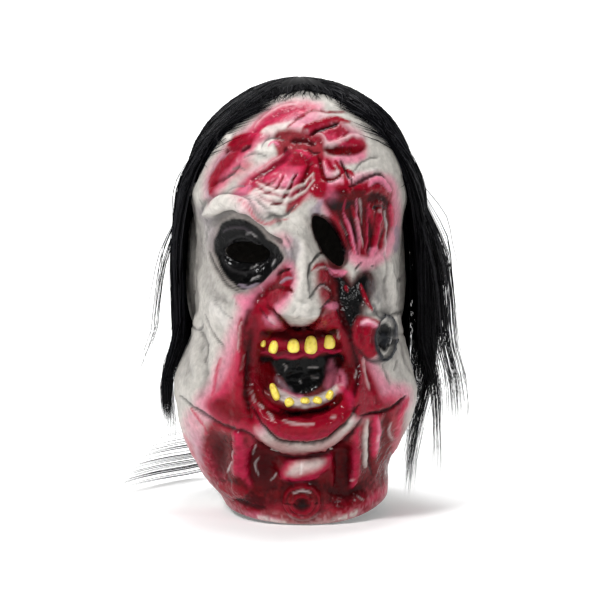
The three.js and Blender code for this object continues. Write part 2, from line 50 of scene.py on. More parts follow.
# Sizes shared with the solids, in millimetres, but SQUARENESS, which is the exponent of a plan section
MASK_HEIGHT = 342.0
HEAD_DEPTH = 212.0
BREADTHS = {"S": 172.0, "J": 191.0, "N": 148.0}
SKULL_BREADTH = BREADTHS["S"]
WALL = 2.4
HEM_RISE = 14.0
FOLD_RELIEF = 8.0
SQUARENESS = 2.25
NOSE_REACH = 30.0
NOSE_BREADTH = 38.0
SOCKET_DEPTH = 13.0
MOUTH_BREADTH = 72.0
MOUTH_HEIGHT = 64.0
MOUTH_DEPTH = 27.0
# Height of the hem, on which the mask stands, below the inside of its crown
HEM = WALL - MASK_HEIGHT

Points = np.ndarray


@dataclass(frozen=True)
class Finish:
    """A paint or a bare material: its colour and how wet it looks."""

    colour: str
    wet: float = 0.0

    def linear(self) -> Points:
        """The colour turned from its sRGB hex to linear light."""
        return hex_to_linear(self.colour)

    def rgba(self) -> tuple[float, ...]:
        """The linear colour with a full alpha, for a node."""
        return (*self.linear(), 1.0)


# Colours that no brush lays: the casting, the teeth, the hair and the studio
BARE_LATEX = Finish("#b9b5ae", 0.12)
INNER_LATEX = Finish("#8f8a84", 0.05)
CREASE_SHADE = Finish("#3a3436")
TOOTH_YELLOW = Finish("#f2de58")
TOOTH_STAIN = Finish("#c79a3a")
FIBRE_BLACK = Finish("#040406")
FIBRE_STREAK = Finish("#26262b")
PAPER_WHITE = Finish("#f6f6f6")


class Paint(Enum):
    """The paints laid over the pale latex; the grey shade is painted shade and the near-white is painted
    highlight.
    """

    # Pale paint, which along ridges such as the brow and the nose is painted highlight
    PALE = Finish("#d2cdc6", 0.05)
    # Painted highlight: small glints and streaks of light laid as near-white paint
    PAINTED_HIGHLIGHT = Finish("#f3efee", 0.5)
    SHADE = Finish("#85807c", 0.1)
    GREY = Finish("#5d5a5c", 0.25)
    MAUVE = Finish("#8d7f8c", 0.45)
    PINK = Finish("#d0708c", 0.35)
    ROSE = Finish("#b21a42", 0.6)
    CRIMSON = Finish("#86051e", 0.8)
    BLOOD = Finish("#5e030a", 0.95)
    MAROON = Finish("#350205", 1.0)
    RING = Finish("#26282c", 0.9)
    BLACK = Finish("#040405", 0.8)


def hex_to_linear(colour: str) -> Points:
    """Turns an sRGB hex colour to linear light.

    Args:
        colour: A colour such as "#aabbcc".

    Returns:
        Three linear values.
    """
    parts = np.array([int(colour[i:i + 2], 16) / 255 for i in (1, 3, 5)])
    return np.where(parts <= 0.04045, parts / 12.92, ((parts + 0.055) / 1.055) ** 2.4)


def ease(low: float, high: float, value: Points) -> Points:
    """Smooth step from 0 at low to 1 at high.

    Args:
        low: Where the step starts.
        high: Where it ends.
        value: The values to step.

    Returns:
        The stepped values.
    """
    share = np.clip((value - low) / (high - low), 0, 1)
    return share * share * (3 - 2 * share)


def unit(vectors: Points) -> Points:
    """Vectors brought to length 1."""
    return vectors / np.maximum(np.linalg.norm(vectors, axis=-1, keepdims=True), 1e-9)


def round_axis(turn: Points, reach: Points, height: Points) -> Points:
    """Points at a turn about the upright axis, a distance from it and a height."""
    return np.stack([reach * np.sin(turn), -reach * np.cos(turn), height], axis=-1)


def smooth_noise(points: Points, grain: float, seed: int) -> Points:
    """Seeded value noise: random numbers on a cubic lattice, joined by smooth steps.

    Args:
        points: Places, one a row.
        grain: Size of a lattice cell, in the units of the points.
        seed: Chooses the lattice.

    Returns:
        One value from 0 to 1 for each place.
    """
    size = 64
    lattice = np.random.default_rng(seed).random((size, size, size))
    scaled = points / grain + 1000.5
    cell = np.floor(scaled).astype(int)
    part = scaled - cell
    part = part * part * (3 - 2 * part)
    total = np.zeros(len(points))
    for corner in np.ndindex(2, 2, 2):
        index = (cell + corner) % size
        weight = np.prod(np.where(np.array(corner), part, 1 - part), axis=1)
        total += weight * lattice[index[:, 0], index[:, 1], index[:, 2]]
    return total


def cubic_table(at: Points, value: Points, where: Points) -> Points:
    """Cubic through a table's column, with slopes from the neighbouring rows.

    Args:
        at: Places of the rows, rising.
        value: The column.
        where: Places to read.

    Returns:
        The column read at those places.
    """
    last = len(at) - 1
    before = np.maximum(np.arange(last + 1) - 1, 0)
    after = np.minimum(np.arange(last + 1) + 1, last)
    slope = (value[after] - value[before]) / (at[after] - at[before])
    i = np.searchsorted(at[1:last], where, side="left")
    span = at[i + 1] - at[i]
    t = np.clip((where - at[i]) / span, 0, 1)
    rest = 1 - t
    start = value[i] * (1 + 2 * t) * rest**2 + slope[i] * span * t * rest**2
    end = value[i + 1] * t**2 * (3 - 2 * t) - slope[i + 1] * span * t**2 * rest
    return start + end


def build_object(name: str, points: Points, faces: list[Points]) -> bpy.types.Object:
    """Makes a mesh object from points in millimetres, its faces turned outwards.

    Args:
        name: Name of the piece.
        points: Points, one a row.
        faces: Arrays of faces, one array for each number of corners.

    Returns:
        The object, linked to the scene, with smooth shading.
    """
    volume = 0.0
    for group in faces:
        a = points[group[:, 0]]
        for k in range(1, group.shape[1] - 1):
            volume += np.einsum("ij,ij->", a, np.cross(points[group[:, k]], points[group[:, k + 1]]))
    if volume < 0:
        faces = [group[:, ::-1] for group in faces]
    loops = np.concatenate([group.ravel() for group in faces])
    sizes = np.concatenate([np.full(len(group), group.shape[1]) for group in faces])
    mesh = bpy.data.meshes.new(name)
    mesh.vertices.add(len(points))
    mesh.vertices.foreach_set("co", (points * MM).astype(np.float32).ravel())
    mesh.loops.add(len(loops))
    mesh.loops.foreach_set("vertex_index", loops.astype(np.int32))
    mesh.polygons.add(len(sizes))
    starts = np.concatenate([[0], np.cumsum(sizes)[:-1]])
    mesh.polygons.foreach_set("loop_start", starts.astype(np.int32))
    mesh.update(calc_edges=True)
    mesh.validate()
    mesh.shade_smooth()
    made = bpy.data.objects.new(name, mesh)
    bpy.context.scene.collection.objects.link(made)
    return made


def ring_faces(rings: int, sides: int) -> tuple[Points, Points]:
    """Faces of a closed stack of rings: point 0, the rings one after another, then the last point.

    Args:
        rings: Number of rings.
        sides: Points in a ring.

    Returns:
        The quads between the rings and the triangles at both ends.
    """
    side = np.arange(sides)
    after = (side + 1) % sides
    base = 1 + np.arange(rings - 1)[:, None] * sides
    quads = np.stack([base + side, base + after, base + sides + after, base + sides + side], axis=-1)
    end = 1 + (rings - 1) * sides
    first = np.stack([np.zeros(sides, int), after + 1, side + 1], axis=-1)
    last = np.stack([np.full(sides, rings * sides + 1), end + side, end + after], axis=-1)
    return quads.reshape(-1, 4), np.concatenate([first, last])


def set_attribute(obj: bpy.types.Object, name: str, values: Points) -> None:
    """Stores a number or a colour at each point of an object's mesh.

    Args:
        obj: The object.
        name: Name of the attribute.
        values: One number, or one row of three colours, a point.
    """
    kind, key = ("FLOAT", "value")
    if values.ndim > 1:
        kind, key = ("FLOAT_COLOR", "color")
        values = np.column_stack([values, np.ones(len(values))])
    layer = obj.data.attributes.new(name, kind, "POINT")
    layer.data.foreach_set(key, values.astype(np.float32).ravel())


def add_node(
    tree: bpy.types.NodeTree, kind: str, inputs: dict | None = None, out: int | str = 0, **settings: str
) -> bpy.types.NodeSocket | None:
    """Adds one shader node.

    Args:
        tree: The node tree.
        kind: The node's type, without the word ShaderNode.
        inputs: Values or output sockets for its inputs, by name or number.
        out: The output to give back, by name or number.
        settings: Values of the node's own settings.

    Returns:
        That output, or None where the node has none.
    """
    made = tree.nodes.new("ShaderNode" + kind)
    for name, value in settings.items():
        setattr(made, name, value)
    for name, value in (inputs or {}).items():
        if isinstance(value, bpy.types.NodeSocket):
            tree.links.new(value, made.inputs[name])
        else:
            made.inputs[name].default_value = value
    return made.outputs[out] if made.outputs else None


def per_metre(grain: float) -> float:
    """Scale of a pattern whose grain is given in millimetres."""
    return 1 / (grain * MM)


def new_material(name: str) -> tuple[bpy.types.Material, bpy.types.NodeTree]:
    """Makes an empty node material.

    Args:
        name: Name of the material.

    Returns:
        The material and its node tree.
    """
    material = bpy.data.materials.new(name)
    material.use_nodes = True
    material.node_tree.nodes.clear()
    return material, material.node_tree


# Plan sections of the head: level (share of MASK_HEIGHT), breadth it is counted in, middle and half
# width (shares of that breadth), then reach forward, reach back and shift (shares of HEAD_DEPTH).
SECTIONS = (
    (0, "S", 0.012, 0, 0, 0, 0.024),
    (0.0018, "S", 0.012, 0.058, 0.052, 0.052, 0.024),
    (0.0088, "S", 0.014, 0.13, 0.118, 0.118, 0.022),
    (0.0234, "S", 0.016, 0.209, 0.193, 0.193, 0.019),
    (0.0433, "S", 0.018, 0.279, 0.26, 0.26, 0.016),
    (0.0901, "S", 0.018, 0.39, 0.358, 0.36, 0.012),
    (0.1368, "S", 0.014, 0.453, 0.415, 0.42, 0.008),
    (0.1836, "S", 0.012, 0.488, 0.453, 0.458, 0.004),
    (0.2304, "S", 0.006, 0.498, 0.478, 0.486, 0),
    (0.2772, "S", 0.004, 0.498, 0.492, 0.5, 0),
    (0.31, "S", 0.003, 0.488, 0.5, 0.505, 0),
    (0.394, "S", 0, 0.477, 0.49, 0.5, 0),
    (0.511, "S", -0.003, 0.477, 0.492, 0.476, 0),
    (0.581, "S", 0.002, 0.49, 0.488, 0.453, 0),
    (0.628, "J", -0.006, 0.467, 0.484, 0.434, 0),
    (0.675, "J", -0.013, 0.49, 0.482, 0.415, 0),
    (0.71, "J", -0.012, 0.5, 0.48, 0.406, 0),
    (0.745, "J", -0.008, 0.496, 0.476, 0.396, 0),
    (0.792, "J", -0.014, 0.482, 0.462, 0.382, 0),
    (0.8386, "J", -0.018, 0.452, 0.415, 0.373, 0),
    (0.8854, "N", -0.02, 0.536, 0.377, 0.358, 0),
    (0.932, "N", -0.005, 0.5, 0.358, 0.344, 0),
    (0.979, "N", 0.037, 0.456, 0.349, 0.33, 0),
    (1, "N", 0.047, 0.439, 0.344, 0.325, 0),
)

# Soft folds: across (share of the skull's breadth), level, half width (share of that breadth), half
# height (share of MASK_HEIGHT), lean in degrees and rise (share of FOLD_RELIEF).
FOLDS = (
    (-0.277, 0.283, 0.15, 0.026, 14, 1.3),
    (0.18, 0.258, 0.15, 0.034, -4, 1.2),
    (-0.303, 0.508, 0.11, 0.052, 0, 0.8),
    (0.3, 0.5, 0.09, 0.05, 0, 0.5),
    (-0.25, 0.603, 0.042, 0.14, 4, 1.0),
    (0.214, 0.646, 0.042, 0.11, -4, 0.9),
    (-0.004, 0.76, 0.19, 0.022, 0, 1.1),
    (-0.01, 0.795, 0.17, 0.026, 0, 0.9),
    (-0.01, 0.835, 0.26, 0.018, 0, -0.6),
    (-0.47, 0.707, 0.1, 0.06, 0, 0.5),
    (0.45, 0.715, 0.1, 0.06, 0, 0.4),
    (-0.268, 0.845, 0.036, 0.058, 0, 0.8),
    (0.242, 0.855, 0.036, 0.07, 0, 0.7),
    (-0.158, 0.868, 0.044, 0.05, 0, -0.7),
    (0.176, 0.873, 0.036, 0.055, 0, -0.7),
    (-0.37, 0.833, 0.05, 0.053, 0, -0.6),
    (0.018, 0.868, 0.1, 0.024, 0, 0.5),
    (-0.246, 0.917, 0.06, 0.03, 0, 0.6),
    (-0.06, 0.155, 0.08, 0.026, 0, -0.3),
)

# Eye openings: across, level, lean in degrees, length and width in millimetres
EYES = ((-0.238, 0.391, 93, 33, 15), (0.113, 0.364, -29, 42, 14))
# Eye sockets: across, level, half width, half height, lean and share of SOCKET_DEPTH
SOCKETS = ((-0.238, 0.391, 0.14, 0.066, 0, 1.0), (0.113, 0.364, 0.075, 0.068, -29, 0.75))
# The nose: across, then the levels of its root, tip and base
NOSE = (-0.008, 0.335, 0.517, 0.553)
MOUTH_ACROSS = -0.003
MOUTH_LEVEL = 0.648
# Edge of the hair on the scalp: turn from the face in degrees and level
HAIRLINE = np.array([
    [0, 0.03], [25, 0.05], [42, 0.095], [57, 0.185], [69, 0.25], [85, 0.29], [105, 0.3], [125, 0.4],
    [180, 0.47],
])
# Level of the middle of the skull, which the hair stands off from
SKULL_MIDDLE = 0.3


class HeadForm:
    """The coarse form of the head, the same as the solids have it, read at whole arrays of places.

    A place is a turn about the upright axis, 0 at the face and rising to the right, and a level from 0
    at the crown to 1 at the hem. A plan section is a rounded rectangle whose halves reach forward and
    back by different amounts.
    """

    def __init__(self) -> None:
        """Turns the table of sections into columns in millimetres."""
        breadth = np.array([BREADTHS[row[1]] for row in SECTIONS])
        rows = np.array([[row[0], *row[2:]] for row in SECTIONS], float)
        self.at = np.sqrt(rows[:, 0])
        self.columns = {
            "centre": rows[:, 1] * breadth,
            "half": rows[:, 2] * breadth,
            "front": rows[:, 3] * HEAD_DEPTH,
            "back": rows[:, 4] * HEAD_DEPTH,
            "shift": rows[:, 5] * HEAD_DEPTH,
        }

    def read(self, column: str, level: Points) -> Points:
        """One measure of the plan section at each level."""
        return cubic_table(self.at, self.columns[column], np.sqrt(np.maximum(level, 0)))

    def plain(self, turn: Points, level: Points) -> tuple[Points, Points]:
        """Points of the head before its folds.

        Args:
            turn: Turns in radians.
            level: Levels.

        Returns:
            The points and the directions in which they face in plan.
        """
        sine, cosine = np.sin(turn), np.cos(turn)
        power = 2 / SQUARENESS
        half = self.read("half", level)
        depth = np.where(cosine > 0, self.read("front", level), self.read("back", level))
        x = self.read("centre", level) + half * np.sign(sine) * np.abs(sine) ** power
        y = self.read("shift", level) - depth * np.sign(cosine) * np.abs(cosine) ** power
        rise = HEM_RISE * sine**2 * np.where(sine > 0, 1, 0.4) * ease(0.8, 1, level)
        z = WALL - MASK_HEIGHT * level + rise
        out = unit(np.stack([sine * depth, -cosine * half, np.zeros_like(x)], axis=-1))
        return np.stack([x, y, z], axis=-1), out

    @staticmethod
    def span(fold: tuple, x: Points, level: Points) -> Points:
        """Distance from a fold's middle, 1 on its edge.

        Args:
            fold: Across, level, half width, half height and lean of the fold.
            x: Distances across, in millimetres.
            level: Levels.

        Returns:
            The distances.
        """
        lean = math.radians(fold[4])
        dx = x - fold[0] * SKULL_BREADTH
        dz = (fold[1] - level) * MASK_HEIGHT
        u = dx * math.cos(lean) - dz * math.sin(lean)
        v = dx * math.sin(lean) + dz * math.cos(lean)
        return np.hypot(u / (fold[2] * SKULL_BREADTH), v / (fold[3] * MASK_HEIGHT))

    def relief(self, x: Points, level: Points) -> Points:
        """How far the skin stands out from the plain head at a place seen from the front.

        Args:
            x: Distances across, in millimetres.
            level: Levels.

        Returns:
            The relief in millimetres.
        """
        across, root, tip, base = NOSE
        run = (level - root) / (tip - root)
        shown = (run >= -0.3) & (level <= base + 0.02)
        climb = np.where(run < 0, 0.2 * (1 + run / 0.3), 0.2 + 0.8 * np.clip(run, 0, 1) ** 1.25)
        under = 1 - ease(tip, base + 0.012, level)
        half = NOSE_BREADTH * (0.3 + 0.22 * np.clip(run, 0, 1))
        side = np.abs(x - across * SKULL_BREADTH) / half
        rise = np.where(shown, NOSE_REACH * climb * under * np.exp(-(side**2.6)), 0)
        for fold in FOLDS:
            rise = rise + fold[5] * FOLD_RELIEF * np.exp(-self.span(fold, x, level) ** 2)
        for socket in SOCKETS:
            rise = rise - socket[5] * SOCKET_DEPTH * np.exp(-self.span(socket, x, level) ** 3)
        dx = (x - MOUTH_ACROSS * SKULL_BREADTH) / (MOUTH_BREADTH / 2)
        dz = (level - MOUTH_LEVEL) * MASK_HEIGHT / (MOUTH_HEIGHT / 2)
        return rise - MOUTH_DEPTH * np.exp(-np.hypot(dx, dz) ** 5)

    def skin(self, turn: Points, level: Points) -> Points:
        """Points of the outer skin: the plain head, moved out by its relief where it faces forward.

        Args:
            turn: Turns in radians.
            level: Levels.

        Returns:
            The points.
        """
        point, out = self.plain(turn, level)
        facing = ease(-0.15, 0.25, np.cos(turn))
        return point + out * (facing * self.relief(point[..., 0], level))[..., None]

    def turn_across(self, x: Points, level: Points) -> Points:
        """Turn on the front of the plain head at a distance across."""
        share = np.clip((x - self.read("centre", level)) / self.read("half", level), -1, 1)
        return np.arcsin(np.sign(share) * np.abs(share) ** (SQUARENESS / 2))

    def off_head(self, turn: Points, level: Points, stand: Points) -> Points:
        """Points off the plain head, measured from the middle of the skull.

        Args:
            turn: Turns in radians.
            level: Levels.
            stand: Distances off the head, in millimetres.

        Returns:
            The points.
        """
        point, _ = self.plain(turn, level)
        middle = np.zeros_like(point)
        over = np.maximum(point[..., 2], 0) - SKULL_MIDDLE * MASK_HEIGHT
        middle[..., 2] = np.where(level > SKULL_MIDDLE, point[..., 2], over)
        return point + unit(point - middle) * np.asarray(stand)[..., None]

    def gum_face(self, share: Points) -> Points:
        """How far back the gums' faces lie in the mouth, further toward its corners.

        Args:
            share: Distances across, as shares of the mouth's half breadth.

        Returns:
            The depths, in millimetres behind the middle of the head.
        """
        middle, level = np.array(MOUTH_ACROSS * SKULL_BREADTH), np.array(MOUTH_LEVEL)
        lips, _ = self.plain(self.turn_across(middle, level), level)
        return lips[1] + MOUTH_DEPTH * (0.16 + 0.5 * share**2)

    def hang_reach(self, turn: Points, level: Points, steps: int = 12) -> Points:
        """Distance from the axis of the widest part of the head above each place.

        Args:
            turn: Turns in radians.
            level: Levels.
            steps: How many levels are tried between the crown and each place.

        Returns:
            The distances, in millimetres.
        """
        widest = np.zeros(np.broadcast(turn, level).shape)
        for share in np.arange(1, steps + 1) / steps:
            point, _ = self.plain(turn, level * share)
            widest = np.maximum(widest, np.hypot(point[..., 0], point[..., 1]))
        return widest


@dataclass(frozen=True)
class PhotoView:
    """The view that the object is seen in, and where a point falls in its 600 by 600 picture."""

    azimuth: float = -2.0
    elevation: float = 3.7
    distance: float = 1400.0
    target: tuple[float, float, float] = (2.0, 0.0, -172.4)
    lens: float = 105.0
    sensor: float = 36.0
    picture: float = 600.0

    def axes(self) -> tuple[Points, Points, Points]:
        """The camera's own directions.

        Returns:
            Unit vectors to the right, up and back toward the camera.
        """
        a, e = math.radians(self.azimuth), math.radians(self.elevation)
        back = np.array([math.sin(a) * math.cos(e), -math.cos(a) * math.cos(e), math.sin(e)])
        right = np.array([math.cos(a), math.sin(a), 0.0])
        return right, np.cross(back, right), back

    def project(self, points: Points) -> Points:
        """Where points fall in the picture.

        Args:
            points: Points in millimetres, one a row.

        Returns:
            Distances right and down from the picture's upper left corner, in its pixels.
        """
        right, up, back = self.axes()
        local = points - np.array(self.target)
        scale = self.picture * self.lens / self.sensor / (self.distance - local @ back)
        middle = self.picture / 2
        return np.stack([middle + local @ right * scale, middle - local @ up * scale], axis=-1)

    def make_camera(self) -> bpy.types.Object:
        """Makes the scene's camera.

        Returns:
            The camera.
        """
        right, up, back = self.axes()
        data = bpy.data.cameras.new("studio camera")
        data.lens = self.lens
        data.sensor_width = self.sensor
        data.clip_end = 100
        camera = bpy.data.objects.new("studio camera", data)
        bpy.context.scene.collection.objects.link(camera)
        turned = Matrix((right, up, back)).transposed().to_4x4()
        turned.translation = Vector((np.array(self.target) + back * self.distance) * MM)
        camera.matrix_world = turned
        bpy.context.scene.camera = camera
        return camera


@dataclass(frozen=True)
class Stroke:
    """One stroke of paint or relief, along a route in picture pixels, or a filled patch where closed.

    The route holds x and y by turns. half is half the stroke's width in pixels, or how far a patch
    reaches past its route. rise is its relief in millimetres, soft the width of its edge in pixels
    and speckle the share that the grain breaks up.
    """

    paint: Paint
    half: float
    route: tuple[float, ...]
    rise: float = 0.0
    opacity: float = 1.0
    soft: float = 0.0
    closed: bool = False
    speckle: float = 0.0

    # Pieces of the curve between two points of the route, and how much an open stroke thins at its ends
    STEPS: ClassVar[int] = 5
    TAPER: ClassVar[float] = 0.65

    def curve(self) -> Points:
        """The route as a dense line: a Catmull-Rom curve through its points.

        Returns:
            Points of the curve, in picture pixels.
        """
        corners = np.array(self.route, float).reshape(-1, 2)
        if self.closed:
            around = np.concatenate([corners[-1:], corners, corners[:2]])
        else:
            around = np.concatenate([corners[:1], corners, corners[-1:]])
        a, b, c, d = around[:-3], around[1:-2], around[2:-1], around[3:]
        t = (np.arange(self.STEPS) / self.STEPS)[:, None, None]
        bent = 2 * b + (c - a) * t + (2 * a - 5 * b + 4 * c - d) * t**2 + (3 * b - a - 3 * c + d) * t**3
        dense = (bent / 2).transpose(1, 0, 2).reshape(-1, 2)
        return np.concatenate([dense, c[-1:]])

    def mask(self, places: Points) -> tuple[Points, Points]:
        """How much of the stroke falls on each place.

        The distance to the nearest part of the curve is stepped from 1 inside the half width to 0
        outside it. Open strokes taper at both ends. A patch counts its inside as a negative distance.

        Args:
            places: Places in picture pixels, one a row.

        Returns:
            The numbers of the places that it reaches, and its share there.
        """
        line = self.curve()
        soft = self.soft or max(1.0, 0.45 * self.half)
        reach = self.half + soft
        low, high = line.min(0) - reach, line.max(0) + reach
        near = np.flatnonzero(np.all((places > low) & (places < high), axis=1))
        spot = places[near]
        best = np.full(len(near), 1e9)
        share = np.zeros(len(near))
        inside = np.zeros(len(near), bool)
        for k, (a, b) in enumerate(zip(line[:-1], line[1:])):
            step = b - a
            length = max(step @ step, 1e-9)
            along = np.clip((spot - a) @ step / length, 0, 1)
            gap = np.hypot(*(spot - a - along[:, None] * step).T)
            closer = gap < best
            best = np.where(closer, gap, best)
            share = np.where(closer, (k + along) / (len(line) - 1), share)
            if self.closed and a[1] != b[1]:
                crosses = (spot[:, 1] < a[1]) != (spot[:, 1] < b[1])
                where = a[0] + (spot[:, 1] - a[1]) * step[0] / step[1]
                inside ^= crosses & (spot[:, 0] < where)
        if self.closed:
            return near, 1 - ease(-soft, soft, np.where(inside, -best, best) - self.half)
        half = self.half * (1 - self.TAPER * np.abs(2 * share - 1) ** 4)
        return near, 1 - ease(half - soft, half + soft, best)


PALE, PAINTED_HIGHLIGHT, SHADE, GREY, MAUVE, PINK, ROSE, CRIMSON, BLOOD, MAROON, RING, BLACK = Paint

# Each row below is one stroke, in the order of Stroke's fields, and the lowest coat comes first

# Broad areas of colour that the finer strokes lie over, among them painted shade and painted highlight on
# the folds
WASHES = (
    # Painted shade down the sides of the face beside the hair, at the temples and round the eye and the
    # nose, with painted highlight on the folds between
    (SHADE, 7, (190, 200, 186, 240, 187, 290, 190, 340, 186, 380), -0.6, 0.5, 8),
    (SHADE, 7, (205, 200, 201, 230, 203, 262, 212, 290, 228, 302), -1.2, 0.45, 7),
    (SHADE, 4, (206, 330, 203, 352, 207, 372, 200, 396), -1.0, 0.35, 6),
    (PALE, 5, (214, 306, 212, 330, 216, 356, 213, 380), 1.6, 0.4, 5),
    (PALE, 4, (196, 318, 194, 342, 193, 366), 1.2, 0.3, 4),
    (SHADE, 8, (394, 200, 403, 230, 405, 270, 404, 310, 404, 350), -0.8, 0.6, 8),
    (SHADE, 2, (195, 236, 199, 256, 193, 276, 196, 300, 190, 322), -1.4, 0.6, 2.5),
    (PALE, 3.4, (189, 240, 190, 262, 187, 290, 190, 314), 2.0, 0.6, 3),
    (SHADE, 5, (376, 262, 381, 282, 388, 300, 384, 314), -1.2, 0.65, 4),
    (PALE, 5, (389, 262, 394, 284, 393, 304), 1.2, 0.4, 4),
    (SHADE, 4, (396, 344, 398, 362, 404, 378), -0.8, 0.35, 5),
    (SHADE, 5, (222, 214, 236, 208, 250, 214, 264, 224), -0.8, 0.3, 5),
    (SHADE, 4, (291, 262, 288, 280, 286, 296), -1.0, 0.4, 4),
    (SHADE, 4, (284, 318, 300, 328, 316, 322), -0.8, 0.45, 4),
    (MAUVE, 6, (196, 212, 204, 216, 212, 232, 210, 250), 0, 0.45, 6),
    (MAUVE, 7, (290, 238, 294, 250, 292, 262), 0, 0.5, 5),
    (PINK, 6, (278, 232, 284, 240, 289, 246), 0, 0.5, 5),
    (MAUVE, 7, (312, 208, 318, 212), 0, 0.6, 5),
    (PINK, 5, (250, 300, 238, 322, 230, 345, 222, 368, 210, 390, 200, 404, 216, 424, 256, 436, 262, 400,
     262, 340), 0, 0.75, 8, True),
    (ROSE, 2, (256, 300, 244, 325, 237, 345, 231, 368, 221, 388, 208, 402, 214, 416, 232, 424, 256, 430,
     262, 400, 262, 340), 0.2, 0.9, 5, True),
    (CRIMSON, 0, (262, 300, 248, 322, 243, 345, 238, 372, 228, 392, 216, 406, 236, 422, 256, 428, 262, 400,
     262, 340), 0, 0.95, 5, True),
    (BLOOD, 11, (242, 416, 226, 411, 212, 404), 0, 0.7, 7),
    # Painted highlight on the roll of the brow and the ridge of the nose, with painted shade under the brow
    # and beside the nose
    (PALE, 6, (206, 214, 222, 204, 242, 205, 260, 216, 279, 233), 5.5, 0.8, 6),
    (SHADE, 3.4, (208, 228, 220, 217, 234, 213, 250, 216, 264, 226, 280, 241), -2.4, 0.75, 3),
    (SHADE, 2, (204, 204, 216, 196, 232, 194, 250, 199, 264, 208, 280, 222), -1.8, 0.5, 3.5),
    (SHADE, 3, (294, 240, 292, 262, 290, 282), -1.2, 0.45, 3.5),
    (SHADE, 2.6, (310, 264, 311, 282, 314, 298), -1.0, 0.4, 3),
    (MAUVE, 4, (282, 246, 288, 256, 286, 266), -0.6, 0.45, 5, False, 0.5),
    (PALE, 6, (286, 226, 296, 222, 306, 230), 1.6, 0.3, 6),
    (PALE, 3.4, (303, 244, 303, 270, 301, 296), 1.6, 0.5, 4),
    (PALE, 8, (299, 308, 303, 314), 1.4, 0.5, 6),
    (PALE, 4, (276, 305, 282, 311), 1.2, 0.6, 4),
    (PINK, 3, (254, 292, 272, 276, 288, 264, 293, 280, 286, 300, 274, 316, 258, 322, 246, 312), 0, 0.9, 6,
     True),
    (CRIMSON, 0, (258, 298, 274, 282, 288, 272, 291, 284, 282, 300, 268, 312, 254, 326, 246, 322), -0.4,
     0.95, 4, True),
    (CRIMSON, 2, (318, 266, 336, 264, 348, 280, 350, 310, 348, 332, 330, 322, 322, 300), 0, 0.9, 5, True),
    (PINK, 9, (190, 414, 195, 430, 200, 446), 0, 0.6, 8),
    (CRIMSON, 2, (258, 304, 280, 322, 302, 330, 322, 318, 340, 310, 350, 330, 346, 350, 302, 344, 262,
     344), 0, 0.95, 4, True),
    (PINK, 4, (352, 336, 366, 356, 378, 372, 390, 386, 406, 390, 404, 408, 384, 414, 362, 416, 350, 410,
     344, 390, 346, 360), 0, 0.8, 7, True),
    (CRIMSON, 2, (350, 330, 360, 352, 370, 372, 378, 392, 384, 408, 362, 416, 348, 412, 342, 390, 344,
     360), 0.2, 0.95, 5, True),
    (ROSE, 6, (384, 398, 396, 401, 405, 399), 0, 0.7, 5),
    (CRIMSON, 4, (250, 388, 260, 412, 276, 432, 300, 438, 328, 434, 348, 414, 354, 388, 346, 372, 330, 402,
     300, 412, 272, 404), 0.3, 1, 3, True),
    (ROSE, 3, (264, 420, 278, 434, 300, 438, 324, 434, 340, 420), 0.2, 0.7, 3, False, 0.3),
    (PINK, 14, (200, 446, 208, 466, 220, 486, 236, 502, 262, 512, 300, 518, 340, 512, 374, 494, 388, 476),
     0, 0.75, 10),
    (CRIMSON, 12, (205, 452, 212, 470, 218, 486, 228, 500, 250, 512, 300, 519, 344, 513, 376, 496, 390,
     470), 0, 0.95, 7, False, 0.25),
    (CRIMSON, 9, (214, 430, 232, 432, 262, 446, 302, 456, 340, 444, 372, 424, 394, 410, 396, 440, 384, 474,
     368, 490, 340, 502, 300, 506, 256, 502, 226, 490, 212, 462), 0, 0.95, 6, True),
    (BLOOD, 0, (220, 436, 240, 436, 262, 450, 302, 460, 340, 448, 372, 430, 388, 420, 388, 446, 378, 476,
     360, 490, 336, 500, 300, 502, 262, 500, 234, 488, 220, 464), -0.2, 0.9, 5, True),
    (MAUVE, 4, (192, 432, 196, 446, 202, 460), 0, 0.3, 5),
    (ROSE, 5, (206, 446, 212, 466, 222, 484), 0, 0.7, 5),
    (PALE, 7, (262, 516, 284, 522, 300, 526, 338, 516), 0, 0.6, 5, False, 0.3),
    (ROSE, 4, (366, 503, 380, 494, 389, 486), 0, 0.8, 3),
)


